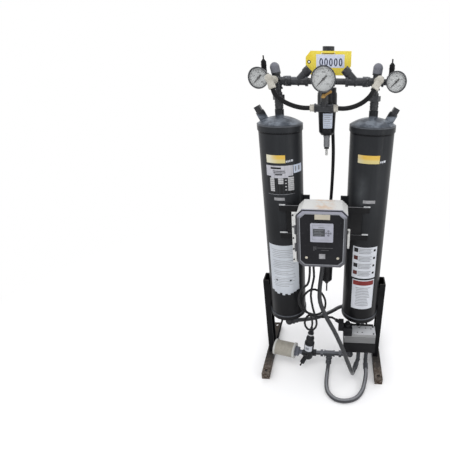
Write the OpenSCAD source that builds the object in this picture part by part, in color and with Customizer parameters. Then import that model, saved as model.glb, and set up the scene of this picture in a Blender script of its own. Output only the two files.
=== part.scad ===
/* [Towers] */
// Distance between the two tower axes
tower_pitch = 352; // [330:1:420]
// Outside diameter of a tower shell
tower_od = 168.3; // [150:0.1:175]
// Wall of the shell and its heads
tower_wall = 5; // [4:0.5:8]
// Height of the lower edge of the bottom head skirt
tower_low = 327; // [315:1:345]
// Height of the upper edge of the top head skirt
tower_high = 1230; // [1150:1:1300]
// Height of a head skirt
skirt_h = 22; // [16:1:30]
// How far a skirt stands out from the shell
skirt_lap = 3.4; // [2:0.1:5]
// Rise of a domed head
crown_h = 27; // [20:1:36]
// Radius of the half couplings in the heads
coupling_r = 17; // [15:0.5:20]
// How far a half coupling stands clear of the crown
coupling_rise = 23; // [18:1:30]
// Lean of the fill port on the top head, degrees
fill_lean = 28; // [15:1:40]
// Distance of the fill port from the tower axis
fill_reach = 50; // [44:1:58]
// Length of the inner tie lugs
lug_reach = 27; // [15:1:35]
// Height of the top edge of the tie lugs
lug_top = 940; // [900:1:1000]

/* [Legs] */
// Width of a foot channel
foot_w = 38; // [32:1:50]
// Height of a foot channel
foot_h = 38; // [30:1:50]
// Reach of a foot in front of the tower axes
foot_front = 158; // [140:1:190]
// Reach of a foot behind the tower axes
foot_back = 205; // [180:1:215]
// Steel thickness of feet and posts
leg_wall = 5; // [3:0.5:7]
// Distance of a foot centre line from its tower axis
foot_out = 108; // [104:1:116]
// Top of the posts
post_top = 508; // [460:1:560]
// Depth of a post channel, front to back
post_depth = 64; // [50:1:80]
// Width of a post channel
post_w = 27; // [22:1:30]
// Distance of an anchor hole from the end of its foot
anchor_inset = 20; // [14:1:30]
// Radius of an anchor hole
anchor_r = 7; // [5:0.5:9]

/* [Pipe fittings] */
// Outside radius of the threaded pipe
pipe_r = 10.65; // [9:0.05:12]
// Bore radius of the threaded pipe
pipe_bore = 7.9; // [6:0.1:8.4]
// Depth of a threaded socket
socket = 13; // [10:0.5:15]
// Radial play in a threaded socket
thread_gap = 0.25; // [0.1:0.05:0.5]
// Body radius of a pipe fitting
fit_r = 14; // [13:0.5:16]
// Radius of the bands round the mouths of a fitting
band_r = 16.5; // [15.5:0.5:19]
// Width of those bands
band_w = 6; // [5:0.5:6.5]
// Distance from the middle of a fitting to its mouth
fit_reach = 27; // [25:1:32]
// Height of a riser union
union_h = 58; // [50:1:70]
// Nut size of a riser union across its flats
union_af = 38; // [36:1:42]
// Pipe that shows between two fittings on a riser
riser_gap = 10; // [4:1:16]
// Pipe that shows below a union
stub_gap = 2; // [1:0.5:6]

/* [Manifold] */
// Sideways place of the filter and outlet line
centre_x = 3; // [-10:1:10]
// Sideways place of the purge line and its gauge
purge_x = -6; // [-12:1:4]
// Length of the hexagon between a cross and a check valve
hex_len = 10; // [8:1:16]
// Length of a check valve body
check_len = 72; // [68:1:82]
// Length of a check valve bonnet from the pipe axis
bonnet_len = 58; // [50:1:64]
// Radius of the round caps on the crosses
cap_r = 17; // [15:0.5:19]
// Height of those caps
cap_h = 34; // [28:1:40]
// Outward lean of the left cap, degrees
left_cap_lean = 12; // [0:1:12]
// Outward lean of the right cap, degrees
right_cap_lean = 6; // [0:1:12]

/* [Gauges] */
// Distance of the left gauge from its tower axis
left_gauge_reach = 60; // [58:1:70]
// Distance of the right gauge from its tower axis
right_gauge_reach = 65; // [54:1:72]
// Rise of the left gauge over the manifold
left_gauge_rise = 10; // [0:1:14]
// Rise of the right gauge over the manifold
right_gauge_rise = 3; // [0:1:14]
// Rise of the middle gauge over the manifold
centre_gauge_rise = 11; // [0:1:14]
// Case radius of the two side gauges
side_gauge_r = 33; // [30:0.5:34]
// Case radius of the middle gauge
centre_gauge_r = 39; // [34:0.5:42]
// Depth of a gauge case
gauge_depth = 28; // [24:1:34]
// How far a bezel stands out from its case
bezel_lap = 2; // [1:0.5:3]
// Side of the square block behind a side gauge
block_side = 30; // [28:1:34]

/* [Purge line] */
// Distance of the purge line in front of the tower axes
purge_y = 57; // [56:1:66]
// Height of the purge tee below the manifold
purge_drop = 85; // [80:1:100]
// Length of the purge tee
purge_tee_len = 68; // [60:1:80]
// Radius of the purge hoses
purge_hose_r = 8; // [6:0.5:9]

/* [Afterfilter] */
// Radius of the filter head
head_r = 36; // [32:1:37]
// Height of the filter head
head_h = 62; // [54:1:70]
// Radius of the bowl at its top
bowl_r = 34; // [30:0.5:35]
// Taper of the bowl radius
bowl_taper = 4; // [0:0.5:8]
// Length of the bowl
bowl_len = 88; // [70:1:110]
// Height of the outlet mouth over the manifold
outlet_rise = 113; // [100:1:130]
// Radius of the outlet coupling
outlet_r = 21.5; // [18:0.5:24]
// Bore radius of the outlet mouth
outlet_bore = 10.5; // [8:0.5:14]

/* [Hang tag] */
// Width of the tag
tag_w = 164; // [130:1:180]
// Height of the tag
tag_h = 79; // [60:1:90]
// Thickness of the tag
tag_t = 1; // [0.6:0.1:2]
// Bevel of the tag corners
tag_bevel = 20; // [10:1:30]

/* [Control box] */
// Width of the box
box_w = 192; // [160:1:200]
// Height of the box
box_h = 244; // [200:1:280]
// Depth of the box behind its cover
box_depth = 97; // [80:1:110]
// Depth of the cover
cover_depth = 13; // [12:1:24]
// Wall of box and cover
box_wall = 4; // [3:0.5:6]
// Bevel of the box corners
box_bevel = 22; // [14:1:30]
// Height of the underside of the box
box_low = 713; // [680:1:760]
// Sideways place of the box
box_x = -3; // [-8:1:8]
// Gap between box and cover
cover_gap = 0.5; // [0.3:0.1:1]
// Width of the cover rim round the faceplate
rim_w = 15; // [10:1:20]
// Width of the hinge flange
flange_w = 17; // [14:1:20]

/* [Box bracket] */
// Height of a cross bar
bar_h = 24; // [16:1:30]
// Thickness of a cross bar
bar_t = 6; // [4:0.5:8]
// Height of the underside of the upper bar
bar_high = 903; // [880:1:920]
// Height of the underside of the lower bar
bar_low = 780; // [760:1:800]

/* [Prefilter] */
// Radius of the prefilter bowl
pre_r = 28; // [24:1:31]
// Length of the prefilter below its shelf
pre_len = 205; // [180:1:230]
// Bore radius of the inlet port
inlet_bore = 10.5; // [8:0.5:12]

/* [Exhaust] */
// Height of the exhaust pipe axis
exhaust_z = 92; // [80:1:110]
// Distance of the exhaust pipe in front of the tower axes
exhaust_y = 60; // [50:1:70]
// Radius of the muffler end caps
muffler_r = 39; // [34:1:44]
// Length of the muffler between its cap faces
muffler_len = 110; // [100:1:130]
// Height of the muffler axis
muffler_z = 112; // [106:1:125]
// Turn of the muffler away from the front, degrees
muffler_turn = 12; // [0:1:20]

/* [Switching valve] */
// Width of the valve
valve_w = 150; // [130:1:156]
// Height of the valve base
valve_base_h = 62; // [50:1:70]
// Height of the valve body
valve_body_h = 56; // [45:1:60]
// Depth of the valve body
valve_body_d = 58; // [50:1:60]
// Height of the underside of the base
valve_low = 150; // [140:1:155]
// Number of cooling grooves in the valve front
groove_count = 6; // [3:1:8]

/* [Hoses and cables] */
// Radius of the two loop hoses
hose_r = 10; // [8:0.5:11]
// Radius of the crossover hose
crossover_r = 10; // [8:0.5:11]
// Radius of the two control cables
cable_r = 5; // [3:0.5:5.5]
// Radius of the drain tube
tube_r = 7; // [4:0.5:7.5]

/* [Hidden] */
$fn = 48;
eps = 0.01;
seat_gap = 0.3;
tower_x = tower_pitch / 2;
tower_r = tower_od / 2;
bore_r = tower_r - tower_wall;
skirt_r = tower_r + skirt_lap;
dome_r = (skirt_r * skirt_r + crown_h * crown_h) / (2 * crown_h);
crown_high = tower_high + crown_h;
crown_low = tower_low - crown_h;
coupling_high = crown_high + coupling_rise;
coupling_low = crown_low - coupling_rise + 8;
union_low = coupling_high + stub_gap;
manifold_z = union_low + union_h + riser_gap + fit_reach;
shoulder = fit_reach - socket;
check_mid = tower_x - fit_reach - hex_len - check_len / 2;
purge_z = manifold_z - purge_drop;
head_top = manifold_z - fit_reach - riser_gap;
head_low = head_top - head_h;
bowl_low = head_low - bowl_len;
outlet_top = manifold_z + outlet_rise;
head_boss = head_r + 2;
outlet_y = head_boss + 20;
tag_y = outlet_y - outlet_r - tag_t - seat_gap;
tag_low = outlet_top - tag_h - 15;
bar_back = -tower_r - seat_gap;
box_back = bar_back - bar_t;
box_front = box_back - box_depth;
cover_back = box_front - cover_gap;
cover_front = cover_back - cover_depth;
box_left = box_x - box_w / 2;
box_right = box_x + box_w / 2;
hinge_x = box_left - 5;
hinge_r = 3.5;
hinge_y = box_front - hinge_r - 0.5;
hinge_pin_r = 1.4;
hinge_low = box_low + 28;
knuckle = 38;
shelf_z = box_low - 8;
pre_x = 12;
pre_y = 12;
pre_port_z = shelf_z - 37;
pre_out = [-8, -42];
gauge_stem = 7;
takeoff_dir = unit([purge_x - centre_x, -purge_y, 0]);
left_elbow = [-tower_x - 18, -72, manifold_z + 10];
right_elbow = [tower_x + 7, -64, manifold_z + 9];
left_elbow_hose = left_elbow + [12, -4, -32];
right_elbow_hose = right_elbow + [-17, -6, -29];
valve_x = tower_x + 4.5;
valve_front = -98;
valve_back = 34;
valve_top = valve_low + valve_base_h;
port_x = [valve_x - 40.5, valve_x + 2.5, valve_x + 41.5];
tee_x = 34;
tee_branch = [tee_x - 4, -exhaust_y - 28, exhaust_z - 42];
exhaust_x = -70;
exhaust_foot = [exhaust_x - 8, -exhaust_y - 6, exhaust_z - 18];
exhaust_plug = [exhaust_x + 14, -exhaust_y - 6, exhaust_z + 176];
exhaust_out = unit(exhaust_plug - exhaust_foot);
muffler_y = 86;
muffler_dir = [-cos(muffler_turn), sin(muffler_turn), 0];
muffler_port = [exhaust_x, -muffler_y, muffler_z] + muffler_dir * 34;
solenoid_x = valve_x - 68.5;
solenoid_out = unit([-4, 0, 3]);
solenoid_plug = [solenoid_x - 50, -94, valve_top + valve_body_h + 82];
pre_hose = [pre_out.x, pre_out.y, pre_port_z - 28];
hose_end = [[0, 0, 0], [port_x[1] - 18, -106, 46], [port_x[2] - 1, -106, 46]];
crossover_start = [43 - tower_x, 8, coupling_low - 40];
crossover_end = [valve_x + 24.5, valve_back + 10, valve_low + 32];
tube_high = [centre_x + 21, 40, head_low - 2];
tube_low = [pre_x, pre_y + 12, shelf_z];
fitting_len = 16;
down = [0, 0, -1];
function knee(k) = [port_x[k], -exhaust_y, valve_low - 90];
function hose_out(k) = unit(hose_end[k] - knee(k));
purge_ends = [for (side = [-1, 1]) [purge_x + side * (purge_tee_len / 2 + fitting_len), -purge_y, purge_z]];

// Moves a hand-laid route so that its two ends meet their fittings square, along the directions they point
function along(q, a, d) = a + d * max(4, (q - a) * d);
function lay(p, a, da, b, db) =
    let (n = len(p) - 1, w = [for (i = [0:n]) p[i] + (1 - i / n) * (a - p[0]) + (i / n) * (b - p[n])])
    [for (i = [0:n]) i == 1 ? along(w[1], a, da) : i == n - 1 ? along(w[n - 1], b, db) : w[i]];

left_purge_route = [[-182, -76, 1355], [-174, -78, 1339], [-154, -74, 1319], [-119, -64, 1301],
    [-78, -57, 1292], [-56, -57, 1292]];
right_purge_route = [[166, -70, 1357], [157, -73, 1341], [137, -69, 1320], [104, -62, 1301],
    [66, -57, 1292], [44, -57, 1292]];
loop_route = [[30, -88, 50], [28, -102, 31], [25, -132, 16], [24, -172, 11], [34, -222, 11],
    [68, -256, 11], [116, -264, 11], [166, -248, 11], [199, -210, 14], [214, -166, 25], [220, -128, 38],
    [221, -106, 46]];
feed_route = [[-8, -42, 640], [-8, -42, 610], [-13, -50, 555], [-18, -64, 496], [-15, -80, 445],
    [8, -104, 394], [54, -142, 328], [96, -172, 250], [124, -181, 170], [146, -162, 88], [158, -129, 53],
    [165, -106, 46]];
crossover_route = [[-133, 8, 245], [-105, 13, 244], [-35, 40, 239], [35, 86, 241], [95, 124, 248],
    [152, 133, 237], [198, 84, 194], [205, 44, 182]];
solenoid_route = [[-56, -130, 702], [-56, -130, 664], [-60, -116, 602], [-70, -104, 556], [-96, -98, 524],
    [-112, -98, 470], [-98, -99, 413], [-66, -92, 382], [-30, -76, 362], [-1, -57, 366], [10, -46, 404],
    [0, -45, 448], [-24, -51, 484], [-60, -76, 506], [-88, -90, 482], [-93, -96, 442], [-78, -105, 404],
    [-46, -108, 382], [6, -101, 370], [44, -94, 364], [62, -94, 350]];
exhaust_route = [[-40, -130, 702], [-40, -130, 664], [-40, -110, 602], [-50, -92, 540], [-57, -86, 480],
    [-48, -98, 424], [-33, -118, 380], [-28, -119, 342], [-44, -121, 308], [-70, -119, 309], [-85, -112, 340],
    [-76, -98, 364], [-64, -80, 360], [-57, -69, 332], [-56, -66, 298], [-56, -66, 268]];
tube_route = [[24, 40, 1276], [24, 40, 1236], [29, 40, 1110], [25, 37, 940], [12, 24, 745], [12, 24, 705]];

function unit(v) = v / norm(v);
function tangent(p, i) = unit(p[min(i + 1, len(p) - 1)] - p[max(i - 1, 0)]);
function first_side(t) = unit(cross(t, abs(t.z) < 0.9 ? [0, 0, 1] : [1, 0, 0]));
function side_dir(p, i) = i == 0 ? first_side(tangent(p, 0))
    : let (t = tangent(p, i), s = side_dir(p, i - 1)) unit(s - t * (s * t));
function ring(p, i, r, n) =
    let (t = tangent(p, i), s = side_dir(p, i), b = cross(t, s))
    [for (k = [0:n - 1]) p[i] + r * (cos(360 * k / n) * s + sin(360 * k / n) * b)];

// Round tube swept along a list of points
module swept(p, r, n = 10) {
    m = len(p);
    sides = [for (i = [0:m - 2], k = [0:n - 1]) let (a = i * n + k, b = i * n + (k + 1) % n)
        each [[a, a + n, b + n], [a, b + n, b]]];
    polyhedron(
        points = [for (i = [0:m - 1]) each ring(p, i, r, n)],
        faces = concat([[for (k = [0:n - 1]) k]], sides, [[for (k = [n - 1:-1:0]) (m - 1) * n + k]]),
        convexity = 8);
}

// Solid cylinder or cone from one point to another
module rod(a, b, r, r2 = undef) {
    d = b - a;
    translate(a)
        rotate([0, acos(d.z / norm(d)), atan2(d.y, d.x)])
            cylinder(h = norm(d), r1 = r, r2 = r2 == undef ? r : r2);
}

// Hexagonal bar along Z, sized across its flats
module hex(af, h) {
    cylinder(h = h, d = af / cos(30), $fn = 6);
}

// Turns a shape that stands along Z to lie along X or along -Y
module along_x() { rotate([0, 90, 0]) children(); }
module along_front() { rotate([90, 0, 0]) children(); }

// Draws a left-hand shape in place, or mirrored to the right-hand side
module on_side(side) {
    if (side < 0) children();
    else mirror([1, 0, 0]) children();
}

// Block from one corner to the other
module block(a, b) {
    translate(a) cube(b - a);
}

// Rectangle about the origin with bevelled corners
module bevelled(w, h, c) {
    x = w / 2;
    y = h / 2;
    polygon([[c - x, -y], [x - c, -y], [x, c - y], [x, y - c],
        [x - c, y], [c - x, y], [-x, y - c], [-x, c - y]]);
}

// Cast pipe fitting with a threaded mouth in each of the given directions
module fitting(mouths) {
    reach = fit_reach;
    difference() {
        union() {
            sphere(r = fit_r + 2);
            for (i = [0:len(mouths) - 1]) {
                rod([0, 0, 0], mouths[i] * reach, fit_r - 0.3 * i);
                rod(mouths[i] * (reach - band_w), mouths[i] * reach, band_r);
            }
        }
        for (d = mouths)
            rod(d * (reach - socket), d * (reach + 1), pipe_r + thread_gap);
    }
}

// Plain threaded nipple standing on Z
module nipple(h) {
    difference() {
        cylinder(h = h, r = pipe_r);
        translate([0, 0, -1]) cylinder(h = h + 2, r = pipe_bore);
    }
}

module foot() {
    inner = foot_w / 2 - leg_wall;
    difference() {
        block([-foot_w / 2, -foot_front, 0], [foot_w / 2, foot_back, foot_h]);
        block([-inner, leg_wall - foot_front, -1], [inner, foot_back + 1, foot_h - leg_wall]);
        for (y = [anchor_inset - foot_front, foot_back - anchor_inset])
            translate([0, y, foot_h - leg_wall - 1]) cylinder(h = leg_wall + 2, r = anchor_r);
    }
}

// Channel post, open towards its tower, with two weld tabs that reach the shell
module post() {
    front = -post_depth * 0.3;
    back = front + post_depth;
    inner = tower_x + skirt_r + seat_gap;
    outer = inner + post_w;
    tab_back = front + leg_wall;
    tab_x = tower_x + sqrt(tower_r * tower_r - tab_back * tab_back) + seat_gap;
    difference() {
        block([inner, front, foot_h], [outer, back, post_top]);
        block([inner - 1, front + leg_wall, foot_h - 1], [outer - leg_wall, back - leg_wall, post_top + 1]);
    }
    for (z = [tower_low + 60, post_top - 70])
        block([tab_x, front, z], [inner + 1, tab_back, z + 45]);
}

// Round stay from the foot up to the bottom head of the tower
stay_r = 5;
stay_y = 60;
module stay() {
    top_x = 20;
    head_r2 = top_x * top_x + stay_y * stay_y;
    top_z = crown_low + dome_r - sqrt(dome_r * dome_r - head_r2) - 2;
    rod([tower_x + foot_out - foot_w / 2 + 2, stay_y, foot_h - 4], [tower_x + top_x, stay_y, top_z], stay_r);
}

module leg(side) {
    on_side(-side) {
        translate([tower_x + foot_out, 0, 0]) foot();
        post();
        stay();
    }
}

module left_leg() { color("#2a2b2d") leg(-1); }
module right_leg() { color("#2a2b2d") leg(1); }

// Inside of a tower, shrunk by a gap and filled up to a given height
module cavity(gap, top) {
    translate([0, 0, tower_low]) cylinder(h = top - tower_low, r = bore_r - gap);
    intersection() {
        translate([0, 0, crown_low + dome_r]) sphere(r = dome_r - tower_wall - gap, $fn = 96);
        translate([0, 0, crown_low]) cylinder(h = crown_h + 1, r = bore_r - gap);
    }
}

module crown_cavity() {
    intersection() {
        translate([0, 0, crown_high - dome_r]) sphere(r = dome_r - tower_wall, $fn = 96);
        translate([0, 0, tower_high - 1]) cylinder(h = crown_h + 1, r = bore_r);
    }
}

module head_shape(high) {
    z = high ? crown_high - dome_r : crown_low + dome_r;
    intersection() {
        translate([0, 0, z]) sphere(r = dome_r, $fn = 96);
        translate([0, 0, high ? tower_high - 1 : crown_low]) cylinder(h = crown_h + 1, r = skirt_r);
    }
}

// Places a shape on the axis of the fill port, with Z along the port
fill_base = tower_high - 6;
module at_fill_port() {
    translate([fill_reach, 0, fill_base]) rotate([0, fill_lean, 0]) children();
}
fill_boss_r = 17;
fill_boss_h = 49;
fill_thread_r = 12;

// Welded pressure vessel: shell, two capped heads, half couplings, fill port and tie lug
module vessel(side) {
    translate([side * tower_x, 0, 0]) on_side(-side) difference() {
        union() {
            translate([0, 0, tower_low]) cylinder(h = tower_high - tower_low, r = tower_r, $fn = 96);
            for (z = [tower_low, tower_high - skirt_h])
                translate([0, 0, z]) cylinder(h = skirt_h, r = skirt_r, $fn = 96);
            head_shape(true);
            head_shape(false);
            translate([0, 0, tower_high]) cylinder(h = coupling_high - tower_high, r = coupling_r);
            translate([0, 0, coupling_low]) cylinder(h = tower_low - coupling_low, r = coupling_r);
            at_fill_port() cylinder(h = fill_boss_h, r = fill_boss_r);
            block([-tower_r - lug_reach, -4, lug_top - 60], [2 - tower_r, 4, lug_top]);
        }
        cavity(0, tower_high);
        crown_cavity();
        translate([0, 0, coupling_high - socket]) cylinder(h = socket + 1, r = pipe_r + thread_gap);
        translate([0, 0, tower_high]) cylinder(h = coupling_high - tower_high, r = pipe_bore);
        translate([0, 0, coupling_low - 1]) cylinder(h = socket + 1, r = pipe_r + thread_gap);
        translate([0, 0, coupling_low]) cylinder(h = tower_low - coupling_low, r = pipe_bore);
        at_fill_port() translate([0, 0, -6]) cylinder(h = fill_boss_h + 7, r = fill_thread_r + thread_gap);
    }
}

module left_vessel() { color("#3a3d41") vessel(-1); }
module right_vessel() { color("#3a3d41") vessel(1); }

// Bead filling of a tower, with room above it and round the lower strainer
strainer_r = 22;
strainer_h = 40;
bed_top = tower_high - 60;
module bed(side) {
    translate([side * tower_x, 0, 0]) difference() {
        cavity(seat_gap, bed_top);
        translate([0, 0, crown_low]) cylinder(h = strainer_h + 3 + tower_wall, r = strainer_r + seat_gap);
    }
}

module left_bed() { color("#e8e4d8") bed(-1); }
module right_bed() { color("#e8e4d8") bed(1); }

// Slotted screen cup that stands over a nozzle inside a head
module strainer() {
    cup_wall = 2;
    slots = 6;
    difference() {
        cylinder(h = strainer_h, r = strainer_r);
        translate([0, 0, -1]) cylinder(h = strainer_h - cup_wall + 1, r = strainer_r - cup_wall);
        for (k = [0:slots - 1])
            rotate([0, 0, 360 * k / slots])
                block([0, -2, 8], [strainer_r + 1, 2, strainer_h - 8]);
    }
}

module strainers() {
    color("#b9bcc0")
        for (side = [-1, 1]) translate([side * tower_x, 0, 0]) {
            translate([0, 0, strainer_seat_low]) strainer();
            translate([0, 0, strainer_seat_high]) mirror([0, 0, 1]) strainer();
        }
}
inner_dome_r = dome_r - tower_wall;
strainer_sag = inner_dome_r - sqrt(inner_dome_r * inner_dome_r - strainer_r * strainer_r);
strainer_seat_low = crown_low + tower_wall + strainer_sag + seat_gap;
strainer_seat_high = crown_high - tower_wall - strainer_sag - seat_gap;

module fill_plugs() {
    square_head = 22;
    head_rise = 20;
    collar_r = 16.2;
    collar_h = 5;
    color("#303236")
        for (side = [-1, 1]) translate([side * tower_x, 0, 0]) on_side(-side) at_fill_port()
            translate([0, 0, fill_boss_h]) {
                translate([0, 0, -socket]) cylinder(h = socket, r = fill_thread_r);
                cylinder(h = collar_h, r = collar_r);
                translate([-square_head / 2, -square_head / 2, collar_h - eps])
                    cube([square_head, square_head, head_rise]);
            }
}

module tower_nipples() {
    low_h = 2 * socket + stub_gap;
    high_h = 2 * socket + riser_gap;
    color("#26272a") {
        for (side = [-1, 1]) translate([side * tower_x, 0, 0]) {
            translate([0, 0, coupling_high - socket]) nipple(low_h);
            translate([0, 0, union_low + union_h - socket]) nipple(high_h);
        }
        translate([tower_x, 0, valve_top - socket]) nipple(coupling_low - valve_top + 2 * socket);
        translate([centre_x, 0, head_top - socket]) nipple(high_h);
    }
}

// Three-piece union with a hexagon nut between its two tails
module pipe_union() {
    nut_low = 0.53 * union_h;
    nut_h = 18;
    difference() {
        union() {
            cylinder(h = nut_low, r = band_r - 1);
            for (z = [0.18 * union_h, 0.36 * union_h])
                translate([0, 0, z]) cylinder(h = 3, r = band_r);
            translate([0, 0, nut_low - eps]) hex(union_af, nut_h);
            translate([0, 0, nut_low]) cylinder(h = union_h - nut_low, r = fit_r);
        }
        translate([0, 0, -1]) cylinder(h = union_h + 2, r = pipe_bore);
        for (z = [-1, union_h - socket])
            translate([0, 0, z]) cylinder(h = socket + 1, r = pipe_r + thread_gap);
    }
}

module unions() {
    color("#2c2d30")
        for (side = [-1, 1]) translate([side * tower_x, 0, union_low]) pipe_union();
}

// Directions of the leaning cap mouth and of the front purge mouth of each cross
function cap_dir(side) = let (a = side < 0 ? left_cap_lean : right_cap_lean) [side * sin(a), 0, cos(a)];
function cross_mid(side) = [side * tower_x, 0, manifold_z];
function elbow_at(side) = side < 0 ? left_elbow : right_elbow;
function elbow_dir(side) = unit(elbow_at(side) - cross_mid(side));

module tower_cross(side) {
    translate(cross_mid(side))
        fitting([[0, 0, -1], [-side, 0, 0], [side, 0, 0], cap_dir(side), elbow_dir(side)]);
}

module left_cross() { color("#2c2d30") tower_cross(-1); }
module right_cross() { color("#2c2d30") tower_cross(1); }

// Round-topped pipe caps screwed into the top mouths of the crosses
module port_caps() {
    color("#6f747b")
        for (side = [-1, 1]) {
            d = cap_dir(side);
            mouth = cross_mid(side) + d * fit_reach;
            rod(mouth - d * socket, mouth + d, pipe_r);
            rod(mouth, mouth + d * (cap_h - cap_r + 2), cap_r);
            translate(mouth + d * (cap_h - cap_r)) sphere(r = cap_r + 0.3);
        }
}

// Hexagon nipples beside the crosses and plain pipes on to the outlet cross
module manifold_nipples() {
    pipe_from = check_mid - check_len / 2 + socket;
    color("#2c2d30")
        for (side = [-1, 1]) {
            a = side * (tower_x - shoulder);
            b = side * (check_mid + check_len / 2 - socket);
            translate([min(a, b), 0, manifold_z]) along_x() nipple(abs(a - b));
            translate([side * (tower_x - fit_reach - hex_len / 2), 0, manifold_z]) along_x()
                translate([0, 0, 1 - hex_len / 2]) difference() {
                    hex(30, hex_len - 2);
                    translate([0, 0, -1]) cylinder(h = hex_len, r = pipe_r - 0.5);
                }
            c = side * pipe_from;
            d = centre_x + side * shoulder;
            translate([min(c, d), 0, manifold_z]) along_x() nipple(abs(c - d));
        }
}

// Y-pattern check valve, drawn for the left side with its bonnet leaning to the middle
module check_valve(side) {
    half = check_len / 2;
    lean = unit([1, 0, 1]);
    color("#3a3c40") translate([side * check_mid, 0, manifold_z]) on_side(side)
        difference() {
            union() {
                along_x() translate([0, 0, -half]) cylinder(h = check_len, r = fit_r);
                for (x = [-half, half - band_w - 4])
                    translate([x, 0, 0]) along_x() cylinder(h = band_w + 4, r = band_r + 1);
                rod([-8, 0, -8], lean * (bonnet_len - 16), fit_r - 0.5);
                rod(lean * (bonnet_len - 22), lean * (bonnet_len - 8), fit_r + 2);
                translate(lean * (bonnet_len - 8.1)) rotate([0, 45, 0]) hex(26, 8.1);
            }
            for (x = [-half - 1, half - socket])
                translate([x, 0, 0]) along_x() cylinder(h = socket + 1, r = pipe_r + thread_gap);
            translate([-half, 0, 0]) along_x() cylinder(h = check_len, r = pipe_bore);
        }
}

module left_check_valve() { check_valve(-1); }
module right_check_valve() { check_valve(1); }

function gauge_reach(side) = side < 0 ? left_gauge_reach : right_gauge_reach;
function gauge_rise(side) = side < 0 ? left_gauge_rise : right_gauge_rise;
function gauge_at(side) = [side * (tower_x + gauge_reach(side)), 0, manifold_z + gauge_rise(side)];

// Square blocks that feed a gauge in front and a relief valve on top, nearer the cross
relief_in = 12;
function relief_at(side) = gauge_at(side) - [side * relief_in, 0, 0];
module gauge_blocks() {
    half = block_side / 2;
    color("#2c2d30")
        for (side = [-1, 1]) {
            g = gauge_at(side);
            difference() {
                union() {
                    block(g - [half, half, half], g + [half, half, half]);
                    block(relief_at(side) - [half - 1, half - 1, half], relief_at(side) + [half - 1, half - 1, half]);
                    rod([side * (tower_x + shoulder), 0, manifold_z], [g.x, 0, manifold_z], pipe_r);
                }
                rod(g - [0, half + 1, 0], g - [0, 0, 0], gauge_stem + thread_gap);
                translate(relief_at(side)) cylinder(h = half + 1, r = gauge_stem + thread_gap);
            }
        }
}

// Slim relief valves with a pull pin on top
module relief_valves() {
    body_h = 38;
    color("#1d1e20")
        for (side = [-1, 1])
            translate(relief_at(side) + [0, 0, block_side / 2]) {
                translate([0, 0, 1 - socket]) cylinder(h = socket, r = gauge_stem);
                hex(18, 9);
                translate([0, 0, 9 - eps]) cylinder(h = body_h - 9, r = 9.5);
                translate([0, 0, 24]) cylinder(h = 3, r = 10.5);
                translate([0, 0, body_h - eps]) cylinder(h = 6, r1 = 8, r2 = 4);
                translate([0, 0, body_h + 6 - 2 * eps]) cylinder(h = 12, r = 2.5);
            }
}

// Round gauge case with a bezel and a dial floor, facing the front, stem at the back
dial_depth = 8;
dial_post_r = 1.6;
lens_t = 2;
module gauge_case(r, stem_drop, stem_len, stem_r, nut_af) {
    color("#34363a") along_front() difference() {
        union() {
            cylinder(h = gauge_depth, r = r);
            translate([0, 0, gauge_depth - dial_depth]) cylinder(h = dial_depth, r = r + bezel_lap);
            translate([0, -stem_drop, -8]) hex(nut_af, 9);
            translate([0, -stem_drop, -stem_len]) cylinder(h = stem_len + 1, r = stem_r);
        }
        difference() {
            translate([0, 0, gauge_depth - dial_depth]) cylinder(h = dial_depth + 1, r = r - 2);
            translate([0, 0, gauge_depth - dial_depth - 1]) cylinder(h = 5, r = dial_post_r);
        }
        translate([0, 0, gauge_depth - lens_t - 1]) cylinder(h = lens_t + 2, r = r - 1);
    }
}

side_stem = 20;
side_gauge_y = -block_side / 2 - 11;
centre_gauge_y = -purge_y - fit_reach - 8;
function case_at(side) = side == 0 ? [purge_x, centre_gauge_y, manifold_z + centre_gauge_rise]
    : gauge_at(side) + [0, side_gauge_y, 0];
function case_r(side) = side == 0 ? centre_gauge_r : side_gauge_r;

module side_gauge(side) { translate(case_at(side)) gauge_case(side_gauge_r, 0, side_stem, gauge_stem, 18); }
module left_gauge() { side_gauge(-1); }
module right_gauge() { side_gauge(1); }
module centre_gauge() {
    translate(case_at(0)) gauge_case(centre_gauge_r, centre_gauge_rise, 8 + socket, pipe_r, 28);
}

// Needle that turns on the post in the middle of a dial, at rest on zero, lower left
pointer_t = 1;
pointer_lift = 2;
zero_angle = 225;
module pointer(side) {
    r = case_r(side);
    color("#101113") translate(case_at(side)) along_front()
        translate([0, 0, gauge_depth - dial_depth + pointer_lift])
            rotate([0, 0, zero_angle]) difference() {
                union() {
                    cylinder(h = pointer_t, r = 4);
                    linear_extrude(height = pointer_t)
                        polygon([[0, 2.2], [0.72 * r, 0.5], [0.72 * r, -0.5], [0, -2.2]]);
                    linear_extrude(height = pointer_t)
                        polygon([[0, 1.5], [-0.4 * r, 2.6], [-0.4 * r, -2.6], [0, -1.5]]);
                }
                translate([0, 0, -1]) cylinder(h = pointer_t + 2, r = dial_post_r + seat_gap);
            }
}

module left_pointer() { pointer(-1); }
module right_pointer() { pointer(1); }
module centre_pointer() { pointer(0); }

module gauge_lenses() {
    color("#dfe7ea", 0.35)
        for (side = [-1, 0, 1])
            translate(case_at(side)) along_front()
                translate([0, 0, gauge_depth - lens_t - 1]) cylinder(h = lens_t, r = case_r(side) - 1.05);
}

module outlet_cross() {
    color("#2c2d30") translate([centre_x, 0, manifold_z])
        fitting([[1, 0, 0], [-1, 0, 0], [0, 0, -1], takeoff_dir]);
}

// Tee in front of the outlet cross that feeds the middle gauge and the purge valve, with its nipple
module purge_takeoff() {
    color("#26272a") {
        translate([purge_x, -purge_y, manifold_z]) fitting([[0, -1, 0], [0, 0, -1]]);
        rod([centre_x, 0, manifold_z] + takeoff_dir * shoulder,
            [purge_x, -purge_y, manifold_z] - takeoff_dir * fit_r, pipe_r);
    }
}

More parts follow.
